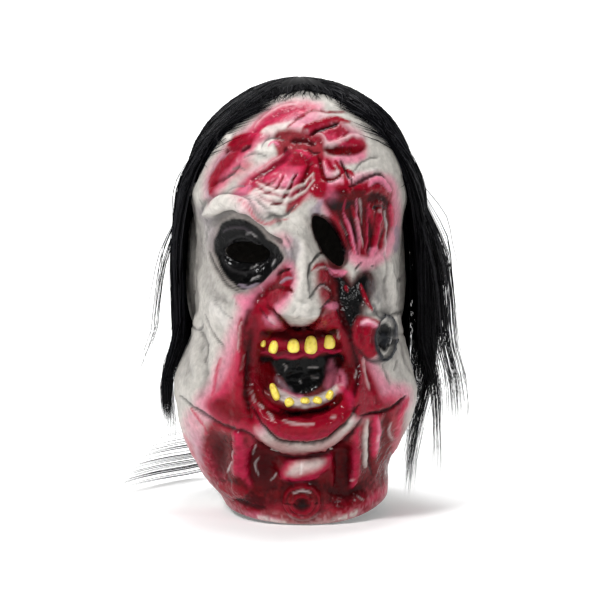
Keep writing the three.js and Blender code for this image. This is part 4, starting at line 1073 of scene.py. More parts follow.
# The flayed neck and bib: tendons, hollows, the ringed boss and the hem
NECK = (
    (MAROON, 9, (222, 480, 246, 496, 270, 500), -0.4, 0.75, 6, False, 0.5),
    (MAROON, 9, (330, 500, 352, 494, 376, 478), -0.4, 0.75, 6, False, 0.5),
    (MAROON, 5, (262, 492, 284, 486, 318, 486, 338, 494), -0.5, 0.85, 4, False, 0.3),
    (BLOOD, 7, (204, 440, 212, 458, 218, 476, 230, 492), -0.4, 0.7, 6, False, 0.3),
    (BLOOD, 7, (398, 428, 394, 450, 388, 472, 376, 490), -0.4, 0.6, 6, False, 0.3),
    (ROSE, 3.4, (252, 440, 247, 456, 246, 472, 250, 486), 1.4, 0.6, 4, False, 0.3),
    (CRIMSON, 3, (325, 450, 332, 466, 334, 484), 1.2, 0.8, 3, False, 0.3),
    (CRIMSON, 5, (244, 508, 268, 514, 302, 519, 340, 512, 366, 500), 0.6, 0.85, 4, False, 0.4),
    (MAROON, 0, (210, 432, 226, 436, 228, 448, 225, 466, 218, 476, 211, 456), -0.9, 0.6, 6, True),
    (ROSE, 5.4, (236, 432, 240, 448, 239, 462, 236, 474), 1.8, 0.9, 4, False, 0.2),
    (ROSE, 4, (244, 468, 242, 478), 0.8, 0.9, 2.5),
    (PAINTED_HIGHLIGHT, 0.9, (233, 450, 234, 459), 0.4, 0.95),
    (PAINTED_HIGHLIGHT, 0.9, (233, 462, 229, 468, 226, 473), 0.4, 0.95),
    (MAROON, 1, (255, 446, 274, 455, 277, 472, 270, 488, 257, 486, 251, 466), -1.2, 0.65, 6, True),
    (PAINTED_HIGHLIGHT, 0.9, (260, 458, 256, 466, 259, 476), 0.4, 0.9),
    (PAINTED_HIGHLIGHT, 0.8, (256, 445, 253, 455), 0.4, 0.9),
    (PAINTED_HIGHLIGHT, 0.8, (270, 481, 276, 474), 0.4, 0.8),
    (ROSE, 0, (288, 460, 304, 456, 322, 457, 330, 454, 328, 466, 320, 474, 304, 480, 282, 478), 1.4, 0.8,
     4.5, True),
    (PALE, 5, (289, 472, 304, 466, 322, 461), 0.4, 0.75, 5),
    (PAINTED_HIGHLIGHT, 0.9, (302, 463, 301, 473), 0.3, 0.9),
    (ROSE, 1.4, (284, 476, 300, 480, 318, 477), 0.3, 0.8),
    (MAROON, 1, (336, 446, 345, 442, 348, 462, 346, 490, 337, 494, 333, 478), -1.1, 0.65, 5, True),
    (BLOOD, 3, (342, 452, 340, 470, 344, 484), 0.6, 0.8, 2, False, 0.5),
    (ROSE, 3.6, (357, 428, 356, 448, 355, 470, 352, 486), 1.6, 0.8, 3.5, False, 0.2),
    (PALE, 2, (366, 420, 365, 440, 365, 466), 1.4, 0.8, 2.4),
    (BLACK, 1.1, (373, 418, 370, 430, 368, 445, 369, 460, 372, 476), -0.8),
    (ROSE, 4.6, (375, 416, 376, 436, 374, 456), 1.2, 0.9, 2.5),
    (PINK, 1.6, (376, 418, 378, 434, 376, 450), 0.3, 0.8, 1.6),
    (PAINTED_HIGHLIGHT, 0.8, (377, 434, 376, 441), 0.3, 0.9),
    (BLOOD, 5, (387, 410, 386, 436, 385, 462, 382, 480), -0.8, 0.9, 4),
    (PAINTED_HIGHLIGHT, 0.9, (391, 422, 390, 433, 393, 441), 0.4, 0.9),
    (PAINTED_HIGHLIGHT, 0.8, (388, 463, 386, 475), 0.4, 0.9),
    (ROSE, 3, (406, 404, 400, 420, 398, 438, 394, 456), 0.5, 0.9, 2, False, 0.4),
    (CRIMSON, 6, (220, 486, 234, 492, 246, 492), 1.2, 0.8, 3),
    (MAROON, 2, (236, 500, 252, 506, 266, 508), -0.6, 0.8),
    (MAROON, 19, (302, 502, 302, 503), 0, 0.95, 4),
    (BLACK, 6, (302, 503, 302, 505), -0.4, 0.9, 3),
    (CRIMSON, 1.1, (284, 503, 288, 492, 298, 486, 310, 487, 318, 495, 320, 506), 0.9, 0.7),
    (SHADE, 1.2, (288, 513, 296, 518, 306, 519, 317, 514), 1, 0.7),
    (CRIMSON, 1.2, (292, 504, 297, 496, 307, 496, 312, 504, 308, 511, 297, 511, 292, 504), 1, 0.6),
    (PAINTED_HIGHLIGHT, 1.1, (294, 492, 302, 489, 310, 491), 0.3, 0.8),
    (MAROON, 3, (330, 492, 348, 494, 364, 486), -0.7, 0.9, 3),
    (BLOOD, 3, (336, 506, 350, 504, 366, 496), 0.6, 0.8, 3, False, 0.4),
    (PAINTED_HIGHLIGHT, 0.7, (350, 480, 354, 478), 0.3, 0.9),
    (PAINTED_HIGHLIGHT, 0.7, (357, 496, 362, 500), 0.3, 0.9),
    (PINK, 3, (246, 513, 264, 518, 280, 521), 0.5, 0.8, 3, False, 0.5),
    (PALE, 3, (334, 519, 346, 517, 358, 511), 0.5, 0.8, 3, False, 0.5),
    (PALE, 2.4, (258, 516, 272, 520, 286, 523), 0.3, 0.8, 2, False, 0.5),
    (ROSE, 2, (184, 434, 192, 450, 198, 468, 204, 482, 214, 494), 0.4, 0.8, 2),
    # Painted shade: darker red in the hollows between the tendons and on either side of the boss
    (MAROON, 6, (263, 460, 266, 480), 0, 0.5, 6),
    (MAROON, 4, (343, 456, 342, 488), 0, 0.5, 5),
    (MAROON, 5, (217, 446, 222, 472), 0, 0.45, 6),
    (MAROON, 5, (244, 498, 262, 504, 280, 500), 0, 0.5, 6),
    (MAROON, 5, (324, 500, 344, 500, 364, 488), 0, 0.5, 6),
)


class Brushwork:
    """Lays strokes over points in order, and keeps the colour, the wetness and the relief they leave."""

    # Noise that makes edges ragged: reach in pixels, then grain in millimetres, two seeds and share
    RAGGED = 0.8
    EDGES = ((6, (11, 12), 1.0), (2.6, (13, 14), 0.6))
    # Noise that breaks speckled strokes: grain in millimetres, seed and the values between which it steps
    GRAIN = (2.2, 15)
    BREAK = (0.45, 0.62)
    # Dark strokes under this half width are drawn fainter, as are the near-white painted highlights
    FINE = 1.7
    FINE_SHARE = 0.7
    DARK = (SHADE, GREY, BLACK)
    GLINT_SHARE = 0.4
    # The relief of every stroke is deepened by this
    DEPTH = 1.3

    def __init__(self, places: Points, bodies: Points, facing: Points) -> None:
        """Starts from the bare pale latex.

        Args:
            places: Where the points fall in the picture.
            bodies: The points themselves, in millimetres, for the noise.
            facing: 1 on the front, 0 on the back, where nothing is painted.
        """
        ragged = np.zeros_like(places)
        for grain, seeds, share in self.EDGES:
            noise = np.stack([smooth_noise(bodies, grain, seed) for seed in seeds], axis=-1)
            ragged += (noise * 2 - 1) * share
        self.places = places + ragged * self.RAGGED
        self.facing = facing
        self.grain = smooth_noise(bodies, *self.GRAIN)
        count = len(places)
        self.colour = np.tile(BARE_LATEX.linear(), (count, 1))
        self.wet = np.full(count, BARE_LATEX.wet)
        self.rise = np.zeros(count)

    def lay(self, rows: tuple[tuple, ...]) -> None:
        """Lays strokes one after another.

        A speckled stroke is broken where the fine noise is high.

        Args:
            rows: The fields of the strokes, the lowest first.
        """
        for row in rows:
            stroke = Stroke(*row)
            near, share = stroke.mask(self.places)
            share = share * self.facing[near]
            self.rise[near] += stroke.rise * self.DEPTH * share
            broken = 1 - stroke.speckle * ease(*self.BREAK, self.grain[near]) * 1.6
            share = np.clip(share * stroke.opacity * broken, 0, 1)
            if stroke.paint is PAINTED_HIGHLIGHT:
                share = share * self.GLINT_SHARE
            elif not stroke.closed and stroke.half < self.FINE and stroke.paint in self.DARK:
                share = share * self.FINE_SHARE
            mixed = self.colour[near] * (1 - share[:, None])
            self.colour[near] = mixed + stroke.paint.value.linear() * share[:, None]
            self.wet[near] += (stroke.paint.value.wet - self.wet[near]) * share


@dataclass
class MaskSkin:
    """The cast latex head: outer skin, inner skin, gums and ears, painted and dressed as one piece."""

    form: HeadForm
    view: PhotoView
    face_columns: int = 160
    back_columns: int = 96
    face_share: float = 0.95
    crown_level: float = 0.06
    crown_rows: int = 14
    face_rows: int = 245
    inner_step: int = 6
    ear_half: tuple[float, float, float] = (9.0, 23.0, 44.0)
    gum_thickness: float = 11.0
    # Gums: drop below the middle of the mouth and arch of the ends (shares of its height), with the
    # height in millimetres between them, then the stretch
    gums: tuple = ((-0.36, 17.0, 0.0, 1.02), (0.42, 13.0, 0.2, 1.0))
    # The ringed boss and the ring on the cheek: across, level, breadth and height in millimetres, then
    # the profile in shares of the radius and of FOLD_RELIEF
    boss: tuple = (0.006, 0.944, 30, 30, (
        (0, 0.42), (0.34, 0.6), (0.46, 0.4), (0.62, 0.55), (0.74, 0.3), (0.88, 0.4), (1, 0.05), (1.1, 0),
    ))
    ring: tuple = (0.328, 0.577, 25, 35, (
        (0, 0.05), (0.4, 0.1), (0.66, 0.36), (0.86, 0.42), (1, 0.1), (1.1, 0),
    ))
    # Points along and round a gum and an ear, and where the ears sit: turn in degrees and level
    gum_grid: tuple[int, int] = (72, 22)
    ear_grid: tuple[int, int] = (42, 30)
    ear_place: tuple[float, float] = (95.0, 0.44)
    # Uneven skin: grain in millimetres, seed, height in millimetres and whether only wet skin has it
    unevenness: tuple = ((9, 21, 1.0, False), (4, 22, 0.7, False), (2, 23, 0.6, True))
    # Relief is held between these heights, in millimetres
    lowest: float = -1.6
    highest: float = 6.0
    # Painted shade in the hollows, where paint also gathers: columns and rows round about, gain and how far
    # it darkens
    round_about: tuple[int, ...] = (-3, -1, 0, 1, 3)
    hollow_shade_gain: float = 1.1
    hollow_shade: float = 0.5
    # Levels between which the inner skin has every row, as the eye openings join it there
    eye_levels: tuple[float, float] = (0.3, 0.46)

    def turns(self) -> Points:
        """Turns of the columns: evenly spaced across the face, then evenly round the back.

        Returns:
            Turns in radians.
        """
        share = np.linspace(-self.face_share, self.face_share, self.face_columns)
        face = np.arcsin(np.sign(share) * np.abs(share) ** (SQUARENESS / 2))
        back = np.linspace(face[-1], 2 * math.pi + face[0], self.back_columns + 2)[1:-1]
        return np.concatenate([face, back])

    def levels(self) -> Points:
        """Levels of the rows: the square of their share by the crown, then even steps to the hem."""
        crown = self.crown_level * (np.arange(1, self.crown_rows + 1) / self.crown_rows) ** 2
        return np.concatenate([crown, np.linspace(self.crown_level, 1, self.face_rows + 1)[1:]])

    @staticmethod
    def eye_span(eye: tuple, points: Points) -> Points:
        """Distance from the middle of an eye opening as seen from the front, 1 on its rim.

        Args:
            eye: Its row of EYES.
            points: Points in millimetres.

        Returns:
            The distances.
        """
        across, level, lean, length, width = eye
        dx = points[..., 0] - across * SKULL_BREADTH
        dz = points[..., 2] - (WALL - MASK_HEIGHT * level)
        sine, cosine = math.sin(math.radians(lean)), math.cos(math.radians(lean))
        return np.hypot((dx * sine + dz * cosine) / (length / 2), (dx * cosine - dz * sine) / (width / 2))

    def fit_eyes(self, turn: Points, level: Points) -> Points:
        """Moves the points round each eye opening onto its rim, a leaning ellipse seen from the front.

        Args:
            turn: Turns of the grid, changed in place.
            level: Levels of the grid, changed in place.

        Returns:
            True for each cell of the grid that lies inside an opening.
        """
        holes = np.zeros((turn.shape[0] - 1, turn.shape[1]), bool)
        front = np.cos(turn[:-1]) > 0
        for eye in EYES:
            points = self.form.skin(turn, level)
            across = (points + np.roll(points, -1, axis=1)) / 2
            hole = (self.eye_span(eye, (across[:-1] + across[1:]) / 2) < 1) & front
            wide = hole | np.roll(hole, 1, axis=1)
            narrow = hole & np.roll(hole, 1, axis=1)
            touched = np.zeros(turn.shape, bool)
            touched[:-1] |= wide
            touched[1:] |= wide
            within = np.zeros(turn.shape, bool)
            within[1:-1] = narrow[:-1] & narrow[1:]
            rim = touched & ~within
            for _ in range(3):
                points = self.form.skin(turn, level)
                plain, _ = self.form.plain(turn, level)
                span = self.eye_span(eye, points)[rim]
                middle = np.array([eye[0] * SKULL_BREADTH, WALL - MASK_HEIGHT * eye[1]])
                here = points[rim][:, [0, 2]]
                goal = middle + (here - middle) / span[:, None]
                level[rim] -= (goal[:, 1] - here[:, 1]) / MASK_HEIGHT
                turn[rim] = self.form.turn_across(plain[rim][:, 0] + goal[:, 0] - here[:, 0], level[rim])
            holes |= hole
        return holes

    @staticmethod
    def normals(points: Points) -> Points:
        """Outward directions on the grid, square to the differences of neighbouring points.

        Args:
            points: The grid of points.

        Returns:
            Unit vectors, level at the hem.
        """
        across = np.roll(points, -1, axis=1) - np.roll(points, 1, axis=1)
        down = np.gradient(points, axis=0)
        out = unit(np.cross(down, across))
        middle = len(points) // 2
        if np.sum(out[middle, :, :2] * points[middle, :, :2]) < 0:
            out = -out
        out[-1, :, 2] = 0
        out[-1] = unit(out[-1])
        return out

    def turned_relief(self, points: Points) -> Points:
        """Relief of the ringed boss on the bib and of the oval ring on the cheek.

        Args:
            points: Points in millimetres, one a row.

        Returns:
            The relief in millimetres.
        """
        rise = np.zeros(len(points))
        for across, level, breadth, height, profile in (self.boss, self.ring):
            dx = (points[:, 0] - across * SKULL_BREADTH) / (breadth / 2)
            dz = (points[:, 2] - WALL + MASK_HEIGHT * level) / (height / 2)
            radius, lift = np.array(profile).T
            shown = points[:, 1] < 0
            rise += np.interp(np.hypot(dx, dz), radius, lift) * FOLD_RELIEF * shown
        return rise

    def bodies(self) -> list[tuple[Points, int, int]]:
        """The gums and the ears as stacks of rings.

        Returns:
            For each, its points with both end points, its number of rings and its points in a ring.
        """
        made = []
        share = np.linspace(-1, 1, self.gum_grid[0])[:, None]
        round_gum = np.linspace(0, 2 * math.pi, self.gum_grid[1], endpoint=False)[None, :]
        for drop, height, arch, stretch in self.gums:
            x = (share * stretch) * MOUTH_BREADTH / 2
            fade = 1 - 0.35 * share**4
            ripple = 1 + 0.12 * np.sin(share * 21)
            face = self.form.gum_face(share * stretch)
            y = face + self.gum_thickness / 2 * (1 - np.cos(round_gum) * fade)
            middle = WALL - MASK_HEIGHT * MOUTH_LEVEL - MOUTH_HEIGHT * (drop - arch * share**2)
            z = middle + height / 2 * np.sin(round_gum) * fade * ripple
            rings = np.stack(np.broadcast_arrays(x + MOUTH_ACROSS * SKULL_BREADTH, y, z), axis=-1)
            made.append(self.stack(rings))
        lift = np.linspace(0, math.pi, self.ear_grid[0])[1:-1, None]
        round_ear = np.linspace(0, 2 * math.pi, self.ear_grid[1], endpoint=False)[None, :]
        turn, level = self.ear_place
        for side in (-1, 1):
            root, _ = self.form.plain(np.array(math.radians(turn) * side), np.array(level))
            outward = np.sin(lift) * np.cos(round_ear)
            back = np.sin(lift) * np.sin(round_ear)
            up = np.cos(lift) + 0 * round_ear
            hollow = 0.55 * np.exp(-((back / 0.5) ** 2) - ((up - 0.25) / 0.4) ** 2)
            rim = 0.16 * np.cos(9 * np.hypot(back, 0.6 * up)) * (outward > 0)
            x = side * (outward - np.where(outward > 0, hollow, 0) + rim + 0.25 * back) * self.ear_half[0]
            y = back * (1 - 0.3 * ease(0, -1, up)) * self.ear_half[1]
            rings = np.stack([x, y, up * self.ear_half[2]], axis=-1)
            rings = rings + root - np.array([side * 0.1 * self.ear_half[0], 0, 0])
            made.append(self.stack(rings))
        return made

    @staticmethod
    def stack(rings: Points) -> tuple[Points, int, int]:
        """The rings' points between the middles of the first and the last ring, and both counts."""
        ends = rings[[0, -1]].mean(axis=1)
        return np.concatenate([ends[:1], rings.reshape(-1, 3), ends[1:]]), *rings.shape[:2]

    def build(self) -> bpy.types.Object:
        """Builds, paints and dresses the head.

        Returns:
            The piece, in place of the solid head.
        """
        turn, level = np.meshgrid(self.turns(), self.levels())
        holes = self.fit_eyes(turn, level)
        coarse = self.form.skin(turn, level)
        normal = self.normals(coarse)
        rows, columns = turn.shape
        flat = coarse.reshape(-1, 3)
        work = Brushwork(self.view.project(flat), flat, ease(-0.2, 0.15, np.cos(turn)).ravel())
        self.paint(work)
        work.rise += self.turned_relief(flat)
        for grain, seed, uneven, wet_only in self.unevenness:
            shown = work.wet if wet_only else 1
            work.rise += (smooth_noise(flat, grain, seed) - 0.5) * uneven * shown
        rise = np.clip(work.rise, self.lowest, self.highest).reshape(rows, columns)
        # Painted shade in the hollows, where paint also gathers: the colour darkens where the skin lies
        # lower than round about
        blurred = rise
        for axis in (1, 0):
            blurred = sum(np.roll(blurred, k, axis=axis) for k in self.round_about) / len(self.round_about)
        hollow = np.clip((blurred - rise).ravel() * self.hollow_shade_gain, 0, 1)
        work.colour *= (1 - self.hollow_shade * hollow)[:, None]
        rise[-1] = 0
        outer = coarse + normal * rise[..., None]
        top, bottom = self.eye_levels
        inside_rows = [r for r in range(rows) if r % self.inner_step == 0 or top < level[r, 0] < bottom]
        inside_rows = sorted({*inside_rows, rows - 1})
        inner = (coarse - normal * WALL)[inside_rows][::-1]
        rings = np.concatenate([outer, inner])
        crown = self.form.skin(np.array(0.0), np.array(0.0))
        points = np.concatenate([[crown], rings.reshape(-1, 3), [crown - np.array([0, 0, WALL])]])
        faces = self.opened_faces(holes, inside_rows[::-1], len(rings), columns)
        raw = np.tile(INNER_LATEX.linear(), (inner.size // 3 + 1, 1))
        colours = [work.colour[:1], work.colour, raw]
        wets = [work.wet[:1], work.wet, np.full(len(raw), INNER_LATEX.wet)]
        count = len(points)
        clouds = [points]
        for body, body_rings, sides in self.bodies():
            clouds.append(body)
            faces += [group + count for group in ring_faces(body_rings, sides)]
            count += len(body)
            dab = Brushwork(self.view.project(body), body, np.ones(len(body)))
            self.paint(dab)
            colours.append(dab.colour)
            wets.append(dab.wet)
        every = np.concatenate(clouds)
        used = np.zeros(count, bool)
        for group in faces:
            used[group.ravel()] = True
        renumbered = np.cumsum(used) - 1
        made = build_object("mask_skin", every[used], [renumbered[group] for group in faces])
        set_attribute(made, "paint", np.concatenate(colours)[used])
        set_attribute(made, "wet", np.concatenate(wets)[used])
        made.data.materials.append(self.latex())
        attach(made, "root")
        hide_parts("head_shell")
        return made

    @staticmethod
    def paint(work: Brushwork) -> None:
        """Lays all strokes, the broad washes first."""
        for rows in (WASHES, NECK, MOUTH, NOSE_AND_CHEEKS, LEFT_EYE, RIGHT_EYE, FOREHEAD):
            work.lay(rows)

    @staticmethod
    def opened_faces(holes: Points, inside_rows: list[int], rings: int, columns: int) -> list[Points]:
        """Faces of the head with the eye openings left out and walls joining both skins round them.

        Args:
            holes: True for each cell of the outer grid inside an opening.
            inside_rows: The outer row that each inner row follows, from the hem up.
            rings: Number of rings, outer and inner.
            columns: Points in a ring.

        Returns:
            Arrays of quads and triangles.
        """
        quads, ends = ring_faces(rings, columns)
        outer_rows = holes.shape[0] + 1
        dropped = np.zeros((rings - 1, columns), bool)
        dropped[:outer_rows - 1] = holes
        ring_of = {}
        for k, row in enumerate(inside_rows):
            ring_of[row] = outer_rows + k
            if k + 1 < len(inside_rows) and row - inside_rows[k + 1] == 1:
                dropped[outer_rows + k] = holes[row - 1]
        walls = []
        above = np.zeros_like(holes)
        above[1:] = holes[:-1]
        for row, column in zip(*np.nonzero(above != holes)):
            after = (column + 1) % columns
            pair = (column, after) if holes[row, column] else (after, column)
            outer = [1 + row * columns + c for c in pair]
            inner = [1 + ring_of[row] * columns + c for c in reversed(pair)]
            walls.append(outer + inner)
        for row, column in zip(*np.nonzero(np.roll(holes, 1, axis=1) != holes)):
            pair = (row + 1, row) if holes[row, column] else (row, row + 1)
            outer = [1 + r * columns + column for r in pair]
            inner = [1 + ring_of[r] * columns + column for r in reversed(pair)]
            walls.append(outer + inner)
        return [quads[~dropped.ravel()], np.array(walls), ends]

    @staticmethod
    def latex() -> bpy.types.Material:
        """Latex cast in a mould, then painted by hand and glossed where the flesh is torn.

        The cast skin shows thin grey creases, darkened by painted shade, with a dull sheen, and the gloss
        on the wounds catches small sharp glints.

        Returns:
            The material.
        """
        material, tree = new_material("hand-painted cast latex")
        place = add_node(tree, "TexCoord", out="Object")
        paint = add_node(tree, "Attribute", out="Color", attribute_name="paint")
        wet = add_node(tree, "Attribute", out="Fac", attribute_name="wet")
        # Creases run where a distorted noise passes its middle value, and only in patches
        longer = add_node(tree, "Mapping", {"Vector": place, "Scale": (1.0, 1.0, 0.6)})
        runs = add_node(
            tree, "TexNoise",
            {"Vector": longer, "Scale": per_metre(11.765), "Detail": 3.0, "Distortion": 0.6},
        )
        middle = add_node(tree, "Math", {0: runs, 1: 0.5}, operation="SUBTRACT")
        size = add_node(tree, "Math", {0: middle}, operation="ABSOLUTE")
        line = add_node(
            tree, "MapRange",
            {"Value": size, "From Min": 0.0, "From Max": 0.014, "To Min": 1.0, "To Max": 0.0},
            interpolation_type="SMOOTHSTEP",
        )
        patch = add_node(tree, "TexNoise", {"Vector": place, "Scale": per_metre(26.316), "Detail": 1.0})
        shown = add_node(
            tree, "MapRange", {"Value": patch, "From Min": 0.46, "From Max": 0.6},
            interpolation_type="SMOOTHSTEP",
        )
        crease = add_node(tree, "Math", {0: line, 1: shown}, operation="MULTIPLY")
        # Painted shade: the creases are darkened toward a dark grey
        crease_shade = add_node(tree, "Math", {0: crease, 1: 0.22}, operation="MULTIPLY")
        # The brush leaves the paint thinner and thicker every few millimetres
        mottle = add_node(tree, "TexNoise", {"Vector": place, "Scale": per_metre(3.846), "Detail": 4.0})
        tone = add_node(
            tree, "MapRange",
            {"Value": mottle, "From Min": 0.3, "From Max": 0.7, "To Min": 0.8, "To Max": 1.08},
        )
        toned = add_node(tree, "VectorMath", {0: paint, "Scale": tone}, operation="SCALE")
        crease_shaded = add_node(tree, "Mix", {0: crease_shade, 6: toned, 7: CREASE_SHADE.rgba()}, 2, data_type="RGBA")
        rough = add_node(tree, "MapRange", {"Value": wet, "To Min": 0.55, "To Max": 0.22})
        dip = add_node(tree, "Math", {0: crease, 1: -0.8}, operation="MULTIPLY")
        # Real pores are finer: these are as coarse as they need to be to show
        ripple = add_node(tree, "TexNoise", {"Vector": place, "Scale": per_metre(3.333), "Detail": 1.0})
        height = add_node(tree, "Math", {0: ripple, 1: dip}, operation="ADD")
        bump = add_node(tree, "Bump", {"Height": height, "Strength": 0.4, "Distance": 1.2 * MM})
        sheen = add_node(tree, "MapRange", {"Value": wet, "To Min": 0.3, "To Max": 0.0})
        coat = add_node(tree, "Math", {0: wet, 1: 0.17}, operation="MULTIPLY")
        surface = add_node(tree, "BsdfPrincipled", {
            "Base Color": crease_shaded, "Roughness": rough, "Normal": bump, "Specular IOR Level": sheen,
            "Coat Weight": coat, "Coat Roughness": 0.05, "Coat Normal": bump,
        })
        add_node(tree, "OutputMaterial", {"Surface": surface})
        return material


@dataclass
class Teeth:
    """The ten loose-looking teeth, each a rounded block in the place of its solid."""

    form: HeadForm
    depth: float = 7.0
    # How far a tooth's middle lies behind the gum's face, as a share of its depth
    seat: float = 0.08
    rows: int = 30
    sides: int = 40
    # Across (share of the mouth's breadth), drop and half height (shares of its height), half width
    # (share of its breadth) and lean in degrees
    upper: tuple = (
        (-0.395, -0.325, 0.066, 0.11, 4),
        (-0.285, -0.275, 0.094, 0.155, 14),
        (-0.08, -0.295, 0.125, 0.165, 0),
        (0.1, -0.305, 0.132, 0.215, 0),
        (0.295, -0.335, 0.125, 0.17, 0),
    )
    lower: tuple = (
        (-0.275, 0.25, 0.082, 0.215, -20),
        (-0.125, 0.365, 0.1, 0.105, -30),
        (0.04, 0.345, 0.098, 0.075, 4),
        (0.17, 0.345, 0.098, 0.085, 8),
        (0.3, 0.29, 0.078, 0.12, 24),
    )

    def tooth(self, name: str, place: tuple) -> bpy.types.Object:
        """Builds one tooth.

        Its section is a rounded rectangle, its outline a rounded block, fuller at the biting edge.

        Args:
            name: Name of the solid that it stands for.
            place: Its row of the table.

        Returns:
            The piece.
        """
        across, drop, wide, tall, lean = place
        middle = np.array([
            MOUTH_ACROSS * SKULL_BREADTH + across * MOUTH_BREADTH,
            self.form.gum_face(across * 2) + self.seat * self.depth,
            WALL - MASK_HEIGHT * MOUTH_LEVEL - drop * MOUTH_HEIGHT,
        ])
        half = np.array([wide * MOUTH_BREADTH / 2, self.depth / 2, tall * MOUTH_HEIGHT / 2])
        lift = np.linspace(0, math.pi, self.rows + 1)[1:-1, None]
        around = np.linspace(0, 2 * math.pi, self.sides, endpoint=False)[None, :]
        width = np.sin(lift) ** 0.72
        block = [np.sign(wave) * np.abs(wave) ** 0.9 for wave in (np.cos(around), np.sin(around))]
        height = np.sign(np.cos(lift)) * np.abs(np.cos(lift)) ** 0.8 + 0 * around
        fuller = 1 - 0.12 * height
        local = np.stack([block[0] * width * fuller, block[1] * width, height], axis=-1) * half
        local[..., 1] += 0.35 * (local[..., 0] / half[0]) ** 2
        angle = math.radians(lean)
        turned = local.copy()
        turned[..., 0] = local[..., 0] * math.cos(angle) + local[..., 2] * math.sin(angle)
        turned[..., 2] = local[..., 2] * math.cos(angle) - local[..., 0] * math.sin(angle)
        points, rings, sides = MaskSkin.stack(turned + middle)
        made = build_object(f"painted_{name}", points, list(ring_faces(rings, sides)))
        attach(made, "root")
        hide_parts(name)
        return made

    @staticmethod
    def enamel() -> bpy.types.Material:
        """Cast latex brushed with opaque yellow and sealed: flat colour with a soft even shine.

        Returns:
            The material.
        """
        material, tree = new_material("yellow brushed latex")
        place = add_node(tree, "TexCoord", out="Object")
        stain = add_node(tree, "TexNoise", {"Vector": place, "Scale": per_metre(3.03), "Detail": 3.0})
        share = add_node(
            tree, "MapRange", {"Value": stain, "From Min": 0.48, "From Max": 0.72, "To Max": 0.6}
        )
        colour = add_node(
            tree, "Mix", {0: share, 6: TOOTH_YELLOW.rgba(), 7: TOOTH_STAIN.rgba()}, 2, data_type="RGBA"
        )
        bump = add_node(tree, "Bump", {"Height": stain, "Strength": 0.25, "Distance": 0.8 * MM})
        surface = add_node(tree, "BsdfPrincipled", {
            "Base Color": colour, "Roughness": 0.3, "Coat Weight": 0.5, "Coat Roughness": 0.12,
            "Normal": bump,
        })
        add_node(tree, "OutputMaterial", {"Surface": surface})
        return material

    def build(self) -> list[bpy.types.Object]:
        """Builds all teeth with one paint.

        Returns:
            The ten pieces.
        """
        enamel = self.enamel()
        made = []
        for jaw, places in (("upper", self.upper), ("lower", self.lower)):
            for number, place in enumerate(places, 1):
                made.append(self.tooth(f"{jaw}_tooth_{number}", place))
        for tooth in made:
            tooth.data.materials.append(enamel)
        return made


@dataclass(frozen=True)
class Lock:
    """A fall of hair.

    start, middle and tip are its turns in degrees, top and end its levels, spread and tip_spread how
    far it stands off, broad and thick its section in shares of the hair's own sizes.
    """

    start: float
    middle: float
    tip: float
    top: float
    end: float
    spread: float
    tip_spread: float
    broad: float
    thick: float
    strands: int


